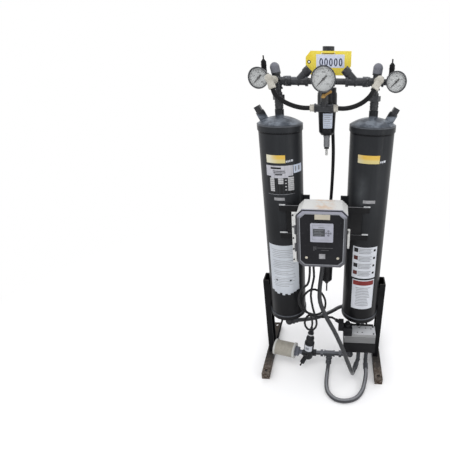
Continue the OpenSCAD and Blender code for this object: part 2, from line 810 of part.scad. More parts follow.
// Afterfilter head, with sockets for the outlet pipe and the supply nipple, and a collar round the latter
module filter_head() {
    collar_h = 17;
    color("#1f2022") translate([centre_x, 0, 0]) difference() {
        union() {
            translate([0, 0, head_low]) cylinder(h = head_h - 10, r = head_r);
            translate([0, 0, head_top - 10 - eps]) cylinder(h = 10, r1 = head_r, r2 = head_r - 1);
            translate([0, 0, head_top - 4]) cylinder(h = collar_h + 4, r = head_r - 3);
            rod([0, 0, head_low + 30], [0, head_boss, head_low + 30], band_r);
            translate([0, 0, head_low + 8]) cylinder(h = 6, r = head_r + 1.5);
            rod([0, 0, tube_high.z + 11], tube_high + [-centre_x, 0, 11], 5.5);
            rod(tube_high - [centre_x, 0, 0], tube_high + [-centre_x, 0, 19], 8.5);
        }
        translate([0, 0, head_top]) cylinder(h = collar_h + 1, r = band_r + 2);
        translate([0, 0, head_top - socket]) cylinder(h = socket + 1, r = pipe_r + thread_gap);
        translate([0, 0, head_top - 40]) cylinder(h = 41, r = pipe_bore);
        rod([0, 12, head_low + 30], [0, outlet_y, head_low + 30], pipe_bore - 0.3);
        rod([0, head_boss - socket, head_low + 30], [0, outlet_y, head_low + 30], pipe_r + thread_gap);
        translate([0, 0, head_low - 1]) cylinder(h = 15, r = bowl_r - 3);
    }
}

// Tapered bowl that screws up into the head, closed by a round bottom
module filter_bowl() {
    low_r = bowl_r - bowl_taper;
    color("#1f2022") translate([centre_x, 0, 0]) difference() {
        union() {
            translate([0, 0, head_low - 1]) cylinder(h = 14, r = bowl_r - 3 - thread_gap);
            translate([0, 0, head_low - 6]) cylinder(h = 6, r = bowl_r);
            translate([0, 0, bowl_low + 10]) cylinder(h = bowl_len - 16 + eps, r1 = low_r, r2 = bowl_r - 1);
            translate([0, 0, bowl_low]) cylinder(h = 10 + eps, r1 = low_r - 8, r2 = low_r);
        }
        translate([0, 0, bowl_low + 6]) cylinder(h = bowl_len + 20, r = low_r - 9);
    }
}

// Round drain valve under the bowl with a hose spout
module filter_drain() {
    color("#8d9094") translate([centre_x, 0, bowl_low]) {
        translate([0, 0, -10]) cylinder(h = 10, r = 13);
        translate([0, 0, -46]) cylinder(h = 37, r = 11.5);
        for (z = [-40, -32, -24])
            translate([0, 0, z]) cylinder(h = 3, r = 12);
        translate([0, 0, -54]) cylinder(h = 9, r = 9.5);
        translate([0, 0, -80]) cylinder(h = 27, r = 4);
        for (z = [-78, -71, -64])
            translate([0, 0, z]) cylinder(h = 4, r1 = 4.5, r2 = 6);
    }
}

// Street elbow, pipe and coupling that carry the dried air up to the outlet mouth
module outlet_riser() {
    z = head_low + 30;
    y = outlet_y;
    color("#232427") translate([centre_x, 0, 0]) difference() {
        union() {
            rod([0, head_boss - socket, z], [0, y - 10, z], pipe_r);
            rod([0, head_boss, z], [0, y, z], fit_r);
            translate([0, y, z]) sphere(r = fit_r + 2);
            rod([0, y, z], [0, y, z + 30], fit_r - 0.4);
            rod([0, y, z + 22], [0, y, z + 30], band_r);
            rod([0, y, z + 20], [0, y, outlet_top - 30], pipe_r);
            rod([0, y, outlet_top - 44], [0, y, outlet_top], outlet_r);
        }
        rod([0, head_boss - socket - 1, z], [0, y, z], pipe_bore - 0.4);
        rod([0, y, z], [0, y, outlet_top], pipe_bore);
        rod([0, y, outlet_top - 20], [0, y, outlet_top + 1], outlet_bore);
    }
}

module purge_tee() {
    color("#26272a") translate([purge_x, -purge_y, purge_z]) difference() {
        union() {
            along_x() translate([0, 0, -purge_tee_len / 2]) cylinder(h = purge_tee_len, r = fit_r - 1);
            for (x = [-purge_tee_len / 2, purge_tee_len / 2 - band_w])
                translate([x, 0, 0]) along_x() cylinder(h = band_w, r = band_r - 1);
            cylinder(h = 22, r = fit_r - 1.4);
            translate([0, 0, 14]) cylinder(h = 8, r = band_r - 1.5);
        }
        along_x() translate([0, 0, -purge_tee_len / 2 - 1]) cylinder(h = purge_tee_len + 2, r = 6);
        for (x = [-purge_tee_len / 2 - 1, purge_tee_len / 2 - socket])
            translate([x, 0, 0]) along_x() cylinder(h = socket + 1, r = 8 + thread_gap);
        cylinder(h = 23, r = 5.5);
        translate([0, 0, 22 - socket]) cylinder(h = socket + 1, r = pipe_r + thread_gap);
    }
}

// Small brass valve between the take-off and the purge tee, stem to the front
valve_stem_z = purge_z + 42;
valve_stem_len = 20;
stem_r = 3.5;
module purge_valve() {
    low = purge_z + 22;
    high = manifold_z - fit_reach;
    color("#b58a3c") translate([purge_x, -purge_y, 0]) {
        translate([0, 0, low - socket]) cylinder(h = high - low + 2 * socket, r = pipe_r - 0.5);
        translate([0, 0, low]) hex(26, high - low);
        translate([0, 0, valve_stem_z]) along_front() cylinder(h = 20, r = 7);
        translate([0, 0, valve_stem_z]) along_front() cylinder(h = 20 + valve_stem_len, r = stem_r);
    }
}

// Lever of the purge valve, turned up to the right at rest
handle_rest = 31;
handle_len = 27;
module purge_handle() {
    color("#c49a45") translate([purge_x, -purge_y - 21, valve_stem_z])
        rotate([0, -handle_rest, 0]) along_front() difference() {
            union() {
                cylinder(h = 12, r = 6.2);
                block([0, -3.5, 4], [handle_len, 3.5, 9]);
                translate([handle_len, 0, 4]) cylinder(h = 5, r = 4.8);
                block([-9, -3, 4], [0, 3, 9]);
            }
            translate([0, 0, -1]) cylinder(h = 14, r = stem_r + seat_gap);
        }
}

// Straight push-in fittings on both ends of the purge tee
module purge_fittings() {
    color("#e6dfcc")
        for (side = [-1, 1])
            translate([purge_x + side * purge_tee_len / 2, -purge_y, purge_z]) rotate([0, side * 90, 0]) {
                translate([0, 0, -socket]) cylinder(h = socket + 1, r = 8);
                hex(22, 7);
                translate([0, 0, 7 - eps]) cylinder(h = fitting_len - 7, r = 11.5);
                translate([0, 0, fitting_len - 4]) cylinder(h = 3, r = 12.5);
            }
}

// Push-in elbows from the front mouths of the crosses down to the purge hoses
module purge_elbows() {
    color("#e6dfcc")
        for (side = [-1, 1]) {
            e = elbow_at(side);
            d = elbow_dir(side);
            h = side < 0 ? left_elbow_hose : right_elbow_hose;
            mouth = cross_mid(side) + d * fit_reach;
            k = unit(h - e);
            rod(mouth - d * socket, e, pipe_r);
            rod(mouth, mouth + d * 8, 13);
            translate(e) sphere(r = 14);
            rod(e, h, 12);
            rod(h - k * 11, h - k * 2, 13.5);
        }
}

module left_purge_hose() {
    ends = lay(left_purge_route, left_elbow_hose, unit(left_elbow_hose - left_elbow), purge_ends[0], [-1, 0, 0]);
    color("#141516") swept(ends, purge_hose_r);
}
module right_purge_hose() {
    ends = lay(right_purge_route, right_elbow_hose, unit(right_elbow_hose - right_elbow), purge_ends[1], [1, 0, 0]);
    color("#141516") swept(ends, purge_hose_r);
}

// Plate with bevelled corners, an eyelet hole and two slots for its tie
tag_x = 4;
module hang_tag() {
    slot_x = outlet_r + 1.5;
    eyelet = [12, tag_h / 2 + 4];
    color("#f2d83a") translate([tag_x - tag_w / 2, tag_y + tag_t, tag_low]) along_front()
        linear_extrude(height = tag_t) difference() {
            polygon([[tag_bevel, 0], [tag_w - tag_bevel - 6, 0], [tag_w, tag_bevel + 10], [tag_w, tag_h],
                [tag_bevel - 2, tag_h], [0, tag_h - tag_bevel], [0, tag_bevel]]);
            translate(eyelet) circle(r = 4);
            for (side = [-1, 1])
                translate([tag_w / 2 - tag_x + centre_x + side * slot_x, tag_h - 8])
                    square([3, 5], center = true);
        }
}

// Cross bars, back plate and prefilter hanger, welded up as one bracket
bar_reach = 4;
plate_half = tower_x - 24;
hanger_half = 20;
module box_bracket() {
    t = 3;
    color("#1b1c1e") {
        for (z = [bar_low, bar_high])
            block([-tower_x - bar_reach, bar_back - bar_t, z], [tower_x + bar_reach, bar_back, z + bar_h]);
        block([-plate_half, bar_back - t, bar_low], [plate_half, bar_back, bar_high + bar_h]);
        block([pre_x - hanger_half, bar_back - t, shelf_z], [pre_x + hanger_half, bar_back, bar_low + 2]);
        difference() {
            block([pre_x - hanger_half, bar_back - t, shelf_z],
                [pre_x + hanger_half, pre_y + 26, shelf_z + 4]);
            translate(tube_low - [0, 0, 1]) cylinder(h = 6, r = tube_r + 0.5);
        }
    }
}

// Moulded box, open to the front, with a hinge flange, latch lugs and two glands
gland_y = box_front + 57;
gland_x = [box_x - 53, box_x - 37];
gland_drop = 11;
gland_mouth = [for (x = gland_x) [x, gland_y, box_low - gland_drop]];
latch_x = box_right + 6;
latch_y = box_front + 22;
latch_z = box_low + 119;
latch_h = 62;
latch_pin_r = 1.75;
module control_box() {
    mid_z = box_low + box_h / 2;
    flange_x = box_left - flange_w;
    lug_t = 4;
    color("#d9dad7") difference() {
        union() {
            translate([box_x, box_back, mid_z]) along_front() linear_extrude(height = box_depth)
                bevelled(box_w, box_h, box_bevel);
            block([flange_x, box_front, box_low + 14], [box_left + 2, box_front + 3, box_low + box_h - 14]);
            for (k = [0, 2, 4]) translate([hinge_x, hinge_y, hinge_low + k * knuckle]) {
                cylinder(h = knuckle - 0.5, r = hinge_r);
                block([-hinge_r, 0, 0], [hinge_r, hinge_r + 1, knuckle - 0.5]);
            }
            translate([hinge_x, hinge_y, hinge_low]) cylinder(h = 5 * knuckle - 0.5, r = hinge_pin_r);
            for (z = [latch_z - latch_h / 2 - lug_t - seat_gap, latch_z + latch_h / 2 + seat_gap])
                block([box_right - 1, latch_y - 5, z], [latch_x + 5, latch_y + 5, z + lug_t]);
            translate([latch_x, latch_y, latch_z - latch_h / 2 - 2])
                cylinder(h = latch_h + 4, r = latch_pin_r);
            for (x = gland_x) translate([x, gland_y, box_low - gland_drop]) {
                cylinder(h = gland_drop + 1, r = 7);
                translate([0, 0, 4]) hex(17, 5);
            }
        }
        translate([box_x, box_back - box_wall, mid_z]) along_front() linear_extrude(height = box_depth)
            bevelled(box_w - 2 * box_wall, box_h - 2 * box_wall, box_bevel - 2);
        for (k = [0:4])
            translate([flange_x + 4, box_front + 4, box_low + 26 + k * 48])
                along_front() cylinder(h = 6, r = 2.4);
    }
}

// Circuit board on standoffs on the back wall of the box
module control_board() {
    back = box_back - box_wall;
    w = 120;
    h = 150;
    mid_z = box_low + box_h / 2;
    color("#2f6b46") {
        for (x = [-w / 2 + 8, w / 2 - 8], z = [-h / 2 + 8, h / 2 - 8])
            translate([box_x + x, back, mid_z + z]) along_front() cylinder(h = 11, r = 4);
        block([box_x - w / 2, back - 12, mid_z - h / 2], [box_x + w / 2, back - 10, mid_z + h / 2]);
        block([box_x - w / 2 + 6, back - 26, mid_z - h / 2 + 4],
            [box_x + w / 2 - 6, back - 12, mid_z - h / 2 + 16]);
        block([box_x - 46, back - 34, mid_z + 24], [box_x - 10, back - 12, mid_z + 60]);
        for (x = [8, 26, 44])
            translate([box_x + x, back - 12 + eps, mid_z + 40]) along_front() cylinder(h = 20, r = 6);
    }
}

// Hinged cover: bevelled rim round a recessed field, hollow behind
recess = 3;
module box_cover() {
    mid_z = box_low + box_h / 2;
    lip = 8;
    color("#b9bec6") difference() {
        union() {
            translate([box_x, cover_back, mid_z]) along_front() {
                linear_extrude(height = lip) bevelled(box_w, box_h, box_bevel);
                linear_extrude(height = cover_depth) bevelled(box_w - 8, box_h - 8, box_bevel - 2);
            }
            for (k = [1, 3]) translate([hinge_x, hinge_y, hinge_low + k * knuckle]) {
                cylinder(h = knuckle - 0.5, r = hinge_r);
                block([0, -1.7, 0], [box_left - hinge_x + 2, 1.7, knuckle - 0.5]);
            }
        }
        translate([box_x, cover_back + 1, mid_z]) along_front()
            linear_extrude(height = cover_depth - recess - box_wall + 1)
                bevelled(box_w - 2 * box_wall - 8, box_h - 2 * box_wall - 8, box_bevel - 4);
        translate([box_x, cover_front + recess, mid_z]) along_front() linear_extrude(height = recess + 1)
            bevelled(box_w - 2 * rim_w, box_h - 2 * rim_w, box_bevel - 4);
        translate([hinge_x, hinge_y, hinge_low]) cylinder(h = 5 * knuckle, r = hinge_pin_r + seat_gap);
    }
}

// Dark faceplate in the recess of the cover
module faceplate() {
    w = box_w - 2 * rim_w - 2 * seat_gap;
    h = box_h - 2 * rim_w - 2 * seat_gap;
    color("#17181a") translate([box_x, cover_front + recess, box_low + box_h / 2]) along_front()
        linear_extrude(height = 2) bevelled(w, h, box_bevel - 4.2);
}

// Display module on the faceplate with a screen recess and a ring of keys
display_w = 86;
display_h = 78;
display_z = box_low + 155;
module display() {
    front = cover_front + recess - 2;
    key_x = 25;
    color("#b4b8c2") translate([box_x, front, display_z]) along_front() difference() {
        union() {
            linear_extrude(height = 4) bevelled(display_w, display_h, 3);
            for (a = [0:90:270])
                translate([key_x + 8 * cos(a), 9 * sin(a), 4 - eps]) cylinder(h = 1.2, r = 3.6);
            translate([key_x, 0, 4 - eps]) cylinder(h = 1.2, r = 3);
        }
        block([-33, -15, 3], [12, 17, 6]);
    }
}

// Latch lever on the right side of the box, hung on its pin at the back
module cover_latch() {
    low = latch_z - latch_h / 2;
    high = latch_z + latch_h / 2;
    nose = cover_back - 8;
    color("#cfd0cd") difference() {
        union() {
            translate([latch_x, latch_y, low]) cylinder(h = latch_h, r = 5);
            block([latch_x - 2, nose, low], [latch_x + 3, latch_y, high]);
            block([latch_x - 5, nose, low], [latch_x + 3, nose + 4, high]);
        }
        translate([latch_x, latch_y, low - 1]) cylinder(h = latch_h + 2, r = latch_pin_r + seat_gap);
    }
}

// Prefilter hung under the shelf: head with inlet and outlet, tapered bowl, drain spout
module prefilter() {
    head = 66;
    bowl = pre_len - head;
    low = shelf_z - pre_len;
    color("#1b1c1e") difference() {
        union() {
            translate([pre_x, pre_y, shelf_z - head]) cylinder(h = head, r = pre_r + 4);
            translate([pre_x, pre_y, low + 8]) cylinder(h = bowl - 8 + eps, r1 = pre_r - 3, r2 = pre_r);
            translate([pre_x, pre_y, low]) cylinder(h = 8 + eps, r1 = pre_r - 10, r2 = pre_r - 3);
            translate([pre_x, pre_y, low - 14]) cylinder(h = 15, r = 8);
            translate([pre_x, pre_y, low - 62]) cylinder(h = 49, r = 3.5);
            rod([pre_x, pre_y, pre_port_z], [pre_out.x, pre_out.y, pre_port_z], 12);
            translate([pre_out.x, pre_out.y, pre_port_z]) sphere(r = 15);
            rod([pre_out.x, pre_out.y, pre_port_z], pre_hose, 12.5);
            rod([pre_x, pre_y, pre_port_z], [pre_x, pre_y + 52, pre_port_z], 18);
        }
        rod([pre_x, pre_y + 34, pre_port_z], [pre_x, pre_y + 53, pre_port_z], inlet_bore);
        rod([pre_x, pre_y + 10, pre_port_z], [pre_x, pre_y + 53, pre_port_z], pipe_bore);
    }
}

// Exhaust valve: leaning round actuator with a domed shoulder and cable neck, bleed spout, pipe mouths
module exhaust_valve() {
    y = -exhaust_y - 6;
    foot = exhaust_foot;
    u = exhaust_out;
    body_r = 25;
    body_top = 96;
    dome_at = 124;
    neck_top = 172;
    color("#202124") {
        rod(foot, foot + u * body_top, body_r);
        rod(foot + u * (body_top - eps), foot + u * (body_top + 12), body_r, 20);
        rod(foot + u * (body_top + 12 - eps), foot + u * dome_at, 20);
        translate(foot + u * dome_at) sphere(r = 20.4);
        rod(foot + u * dome_at, foot + u * neck_top, 12.5);
        rod(foot + u * (neck_top - 20), foot + u * (neck_top - 11), 15);
        rod(foot + u * (neck_top - eps), exhaust_plug, 7);
        rod([exhaust_x, -exhaust_y, exhaust_z], [exhaust_x + 36, -exhaust_y, exhaust_z], band_r);
        rod([exhaust_x - 12, y - 8, exhaust_z - 2], [exhaust_x - 36, y - 24, exhaust_z - 40], 12);
        rod([exhaust_x - 34, y - 23, exhaust_z - 38], [exhaust_x - 45, y - 30, exhaust_z - 56], 4);
        rod(muffler_port - muffler_dir * 30, muffler_port, 14);
    }
}

// Muffler with fibre media between two end caps and a hexagon hub towards the valve
module muffler() {
    stub = 18;
    hub = 14;
    step = 6;
    cap_t = 9;
    cap_at = stub + hub + step;
    color("#a79f90") translate(muffler_port) rotate([0, -90, -muffler_turn]) {
        cylinder(h = stub + 1, r = pipe_r);
        translate([0, 0, stub]) hex(40, hub + 1);
        translate([0, 0, stub + hub]) cylinder(h = step + 1, r = muffler_r - 14);
        for (z = [cap_at, cap_at + muffler_len - cap_t])
            translate([0, 0, z]) cylinder(h = cap_t, r = muffler_r);
        translate([0, 0, cap_at + 1]) cylinder(h = muffler_len - 2, r = muffler_r - 3);
        translate([0, 0, cap_at + muffler_len - 1]) cylinder(h = 4, r = muffler_r - 12);
    }
}

// Exhaust run from the valve through a tee to the elbow under the switching valve
module exhaust_pipe() {
    y = -exhaust_y;
    z = exhaust_z;
    d = unit(tee_branch - [tee_x, y, z]);
    left = exhaust_x + 36;
    color("#2c2d30") {
        rod([left, y, z], [port_x[0], y, z], pipe_r);
        for (x = [left + 22, tee_x + 48])
            translate([x, y, z]) along_x() hex(30, 14);
        rod([tee_x - fit_reach, y, z], [tee_x + fit_reach, y, z], fit_r);
        for (x = [tee_x - fit_reach, tee_x + fit_reach - band_w])
            rod([x, y, z], [x + band_w, y, z], band_r);
        rod([tee_x, y, z], tee_branch - d * 24, fit_r - 0.4);
        rod(tee_branch - d * 34, tee_branch - d * 24, band_r);
        rod(tee_branch - d * 26, tee_branch - d * 18, 12.5);
        rod(tee_branch - d * 18, tee_branch, 14.5);
        translate([port_x[0], y, z]) sphere(r = fit_r + 2);
        rod([port_x[0] - fit_reach, y, z], [port_x[0], y, z], fit_r);
        rod([port_x[0] - fit_reach, y, z], [port_x[0] - fit_reach + band_w, y, z], band_r);
        rod([port_x[0], y, z], [port_x[0], y, valve_low], fit_r - 0.4);
        rod([port_x[0], y, valve_low - 14], [port_x[0], y, valve_low], band_r);
    }
}

// Finned aluminium body of the switching valve with blind holes in its top
module valve_body() {
    x0 = valve_x - valve_w / 2;
    x1 = valve_x + valve_w / 2;
    back = valve_front + valve_body_d;
    pitch = valve_body_h * 0.62 / groove_count;
    color("#c9ccce") difference() {
        block([x0, valve_front, valve_top], [x1, back, valve_top + valve_body_h]);
        for (k = [0:groove_count - 1])
            block([x0 - 1, valve_front - 1, valve_top + 6 + k * pitch],
                [x1 + 1, valve_front + 2.5, valve_top + 6 + k * pitch + pitch / 2]);
        for (p = [[62, 14], [86, 14], [72, 46], [104, 44], [130, 40]])
            translate([x0 + p.x, valve_front + p.y, valve_top + valve_body_h - 8]) cylinder(h = 9, r = 3.6);
    }
}

// Manifold base of the switching valve with the tower socket and its hose fittings
module valve_base() {
    x0 = valve_x - valve_w / 2 - 3;
    x1 = valve_x + valve_w / 2 + 3;
    color("#1b1c1e") difference() {
        union() {
            block([x0, valve_front - 2, valve_low], [x1, valve_back, valve_top]);
            for (k = [1, 2]) {
                translate([port_x[k], -exhaust_y, valve_low - 22]) hex(28, 23);
                rod(knee(k), knee(k) + [0, 0, 90], 10);
                translate(knee(k)) sphere(r = 11);
                rod(knee(k), hose_end[k], 10.4);
                rod(hose_end[k] - hose_out(k) * 28, hose_end[k], 12.5);
            }
            rod(crossover_end - [0, 11, 0], crossover_end, 13);
        }
        translate([tower_x, 0, valve_top - socket]) cylinder(h = socket + 1, r = pipe_r + thread_gap);
        translate([tower_x, 0, valve_low + 20]) cylinder(h = valve_base_h, r = pipe_bore);
    }
}

// Pilot solenoid on the left end of the valve: coil, core tube with its nut, and the plug on its side
module solenoid() {
    z = valve_top + valve_body_h;
    y = -93;
    color("#141516") {
        block([solenoid_x - 14, y - 19, z], [solenoid_x + 28, y + 19, z + 48]);
        translate([solenoid_x + 6, y - 2, z + 48 - eps]) cylinder(h = 18, r = 13);
        translate([solenoid_x + 6, y - 2, z + 66 - 2 * eps]) hex(17, 8);
        block([solenoid_x - 38, y - 16, z + 28], [solenoid_x - 13, y + 15, z + 76]);
        rod(solenoid_plug - solenoid_out * 20, solenoid_plug, 8);
    }
}

// Elbow under the left tower that turns the bottom nozzle into the crossover hose
module tower_elbow() {
    z = coupling_low - 40;
    color("#26272a") translate([-tower_x, 0, 0]) {
        translate([0, 0, z]) cylinder(h = coupling_low + socket - z, r = pipe_r);
        translate([0, 0, z]) cylinder(h = fit_reach - 4, r = fit_r + 2);
        translate([0, 0, z]) sphere(r = 20);
        rod([0, 0, z], crossover_start + [tower_x, 0, 0], 13);
        rod([14, 3, z], [26, 5, z], 17);
    }
}

module loop_hose() {
    tee_out = unit(tee_branch - [tee_x, -exhaust_y, exhaust_z]);
    color("#3c3e42") swept(lay(loop_route, tee_branch, tee_out, hose_end[2], hose_out(2)), hose_r);
}
module feed_hose() {
    color("#232427") swept(lay(feed_route, pre_hose, down, hose_end[1], hose_out(1)), hose_r);
}
module crossover_hose() {
    elbow_out = unit(crossover_start - [-tower_x, 0, coupling_low - 40]);
    color("#232427") swept(lay(crossover_route, crossover_start, elbow_out, crossover_end, [0, 1, 0]), crossover_r);
}
module solenoid_cable() {
    color("#141516") swept(lay(solenoid_route, gland_mouth[0], down, solenoid_plug, solenoid_out), cable_r, 8);
}
module exhaust_cable() {
    color("#141516") swept(lay(exhaust_route, gland_mouth[1], down, exhaust_plug, exhaust_out), cable_r, 8);
}
module drain_tube() {
    color("#101113") swept(lay(tube_route, tube_high, down, tube_low, -down), tube_r, 8);
}

left_leg();
right_leg();
left_vessel();
right_vessel();
left_bed();
right_bed();
strainers();
fill_plugs();
tower_nipples();
unions();
left_cross();
right_cross();
port_caps();
manifold_nipples();
left_check_valve();
right_check_valve();
gauge_blocks();
relief_valves();
left_gauge();
right_gauge();
centre_gauge();
left_pointer();
right_pointer();
centre_pointer();
gauge_lenses();
outlet_cross();
outlet_riser();
filter_head();
filter_bowl();
filter_drain();
purge_takeoff();
purge_valve();
purge_handle();
purge_tee();
purge_fittings();
purge_elbows();
left_purge_hose();
right_purge_hose();
hang_tag();
box_bracket();
control_box();
control_board();
box_cover();
faceplate();
display();
cover_latch();
prefilter();
exhaust_valve();
muffler();
exhaust_pipe();
valve_body();
valve_base();
solenoid();
tower_elbow();
loop_hose();
feed_hose();
crossover_hose();
solenoid_cable();
exhaust_cable();
drain_tube();
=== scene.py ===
import math

import bpy
from mathutils import Matrix, Vector


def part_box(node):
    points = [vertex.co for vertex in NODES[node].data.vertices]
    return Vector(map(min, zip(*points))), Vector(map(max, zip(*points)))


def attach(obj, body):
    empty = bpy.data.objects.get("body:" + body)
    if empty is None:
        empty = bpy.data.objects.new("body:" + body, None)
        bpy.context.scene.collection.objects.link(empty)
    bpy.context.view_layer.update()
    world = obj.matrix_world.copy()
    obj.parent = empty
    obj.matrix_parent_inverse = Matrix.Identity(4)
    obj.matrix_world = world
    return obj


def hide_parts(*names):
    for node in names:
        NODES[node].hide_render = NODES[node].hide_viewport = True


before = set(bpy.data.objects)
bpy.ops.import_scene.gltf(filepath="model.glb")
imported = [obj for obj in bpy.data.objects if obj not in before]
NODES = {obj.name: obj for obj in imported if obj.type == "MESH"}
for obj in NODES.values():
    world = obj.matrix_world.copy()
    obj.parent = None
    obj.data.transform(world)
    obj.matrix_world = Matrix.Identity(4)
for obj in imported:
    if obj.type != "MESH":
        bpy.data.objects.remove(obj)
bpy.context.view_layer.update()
MM = 0.001
TO_MM = 1000
UP, DOWN = (0, 0, 1), (0, 0, -1)


def add_object(name, data):
    obj = bpy.data.objects.new(name, data)
    bpy.context.scene.collection.objects.link(obj)
    return obj


# Low and high corner of a node's box in mm
def box_mm(node):
    return [v * TO_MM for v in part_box(node)]


# Camera, fitted to the photograph: 450 x 450 pixels, principal point right of the middle
CAMERA_AT = (52.18, -1265.35, 1424.81)
CAMERA_TURN = (-0.0408169, 0.4570876, -0.0123701)
SENSOR_WIDTH, FOCAL_LENGTH, SHIFT_X, NEAR_CLIP = 36, 25.77, -0.2222, 0.05


def add_camera():
    yaw, pitch, roll = CAMERA_TURN
    ahead = Vector((math.sin(yaw) * math.cos(pitch), math.cos(yaw) * math.cos(pitch), -math.sin(pitch)))
    level_right = Vector((math.cos(yaw), -math.sin(yaw), 0))
    level_down = ahead.cross(level_right)
    right = math.cos(roll) * level_right + math.sin(roll) * level_down
    down = math.cos(roll) * level_down - math.sin(roll) * level_right
    cam = bpy.data.cameras.new("camera")
    cam.sensor_width = SENSOR_WIDTH
    cam.lens = FOCAL_LENGTH
    cam.shift_x = SHIFT_X
    cam.clip_start = NEAR_CLIP
    obj = add_object("camera", cam)
    place = Matrix((right, -down, -ahead)).transposed().to_4x4()
    place.translation = Vector(CAMERA_AT) * MM
    obj.matrix_world = place
    bpy.context.scene.camera = obj


# Sockets of a Mix node that mixes colours
MIX_FACTOR, MIX_A, MIX_B, MIX_RESULT = 0, 6, 7, 2


# Node tree helpers
class Tree:
    def __init__(self, name):
        self.mat = bpy.data.materials.new(name)
        self.mat.use_nodes = True
        self.nt = self.mat.node_tree
        self.nt.nodes.clear()
        self.out = self.nt.nodes.new("ShaderNodeOutputMaterial")
        self.coord = self.nt.nodes.new("ShaderNodeTexCoord").outputs["Object"]

    def node(self, kind, **sockets):
        n = self.nt.nodes.new(kind)
        for key, value in sockets.items():
            self.set(n.inputs[key], value)
        return n

    def set(self, socket, value):
        if isinstance(value, bpy.types.NodeSocket):
            self.nt.links.new(value, socket)
        else:
            socket.default_value = value

    def set_color(self, socket, value):
        self.set(socket, value if isinstance(value, bpy.types.NodeSocket) else (*value, 1))

    def noise(self, scale, detail=3.0, rough=0.55, stretch=(1, 1, 1)):
        v = self.node("ShaderNodeMapping", Vector=self.coord)
        v.inputs["Scale"].default_value = stretch
        n = self.node("ShaderNodeTexNoise", Vector=v.outputs[0], Scale=scale, Detail=detail, Roughness=rough)
        return n.outputs["Fac"]

    # 0 up to lo, rising to level at hi
    def ramp(self, fac, lo, hi, level=1.0):
        n = self.node("ShaderNodeValToRGB", Fac=fac)
        for stop, place, grey in zip(n.color_ramp.elements, (lo, hi), (0.0, level)):
            stop.position = place
            stop.color = (grey, grey, grey, 1)
        return n.outputs["Color"]

    def mix(self, fac, a, b):
        n = self.nt.nodes.new("ShaderNodeMix")
        n.data_type = "RGBA"
        self.set(n.inputs[MIX_FACTOR], fac)
        self.set_color(n.inputs[MIX_A], a)
        self.set_color(n.inputs[MIX_B], b)
        return n.outputs[MIX_RESULT]

    def math(self, op, a, b=0.0, c=0.0, clamp=False):
        n = self.nt.nodes.new("ShaderNodeMath")
        n.operation = op
        n.use_clamp = clamp
        for socket, value in zip(n.inputs, (a, b, c)):
            self.set(socket, value)
        return n.outputs[0]

    def times(self, a, b, clamp=False):
        return self.math("MULTIPLY", a, b, clamp=clamp)

    # value times gain, plus base
    def scaled(self, value, gain, base):
        return self.math("MULTIPLY_ADD", value, gain, base)

    def axis(self, which):
        return self.node("ShaderNodeSeparateXYZ", Vector=self.coord).outputs["XYZ".index(which)]

    # 0 at lo and before it, 1 at hi and beyond it
    def step(self, value, lo, hi):
        n = self.node("ShaderNodeMapRange", Value=value)
        n.inputs["From Min"].default_value = lo
        n.inputs["From Max"].default_value = hi
        return n.outputs[0]

    # 1 where value lies between lo and hi, with soft edges
    def band(self, value, lo, hi, soft):
        rise = self.step(value, lo - soft, lo + soft)
        fall = self.step(value, hi + soft, hi - soft)
        return self.times(rise, fall)

    # 1 on faces that look up
    def upward(self, lo=0.55, hi=0.9):
        normal = self.nt.nodes.new("ShaderNodeNewGeometry").outputs["Normal"]
        return self.step(self.node("ShaderNodeSeparateXYZ", Vector=normal).outputs[2], lo, hi)

    def bump(self, height, strength, distance=0.001):
        return self.node("ShaderNodeBump", Height=height, Strength=strength, Distance=distance).outputs[0]

    # Fine even grain
    def grain(self, scale, strength):
        return self.bump(self.noise(scale, 2.0), strength)

    def finish(self, color, rough, metal=0.0, normal=None, spec=0.5):
        b = self.node("ShaderNodeBsdfPrincipled", Roughness=rough, Metallic=metal)
        self.set_color(b.inputs["Base Color"], color)
        b.inputs["Specular IOR Level"].default_value = spec
        if normal is not None:
            self.set(b.inputs["Normal"], normal)
        self.nt.links.new(b.outputs[0], self.out.inputs[0])
        return self.mat


# Painted or moulded surface: two tones in patches, fine orange peel, pale spots that are dust and, on the
# iron fittings, painted glints, and pale faces that look up, from dust and, on the iron fittings and the
# bracket bars, a painted highlight; the arguments for the spots and for the tops are each a colour and an
# amount
def surface(name, a, b, rough=0.45, spread=0.12, scale=9.0, grain=220.0, bump=0.12, metal=0.0, dust_and_glints=None,
            top=None, spec=0.22):
    t = Tree(name)
    spot_scale, gloss_scale, settled_scale = scale * 7, scale * 2.3, 40
    col = t.mix(t.ramp(t.noise(scale, 4.0), 0.32, 0.7), a, b)
    # pale spots: dust, and painted glints where the iron fittings use them
    if dust_and_glints:
        spots = t.ramp(t.noise(spot_scale, 6.0, 0.7), 0.56, 0.75)
        col = t.mix(t.times(spots, dust_and_glints[3]), col, dust_and_glints[:3])
    # pale faces that look up: dust, and a painted highlight on the iron fittings and the bracket bars
    if top:
        settled_dust_and_highlight = t.times(t.upward(), t.scaled(t.noise(settled_scale, 5.0), 0.6, 0.5))
        col = t.mix(t.times(settled_dust_and_highlight, top[3], clamp=True), col, top[:3])
    gloss = t.scaled(t.noise(gloss_scale, 3.0), spread, rough - spread / 2)
    return t.finish(col, gloss, metal, t.grain(grain, bump), spec)
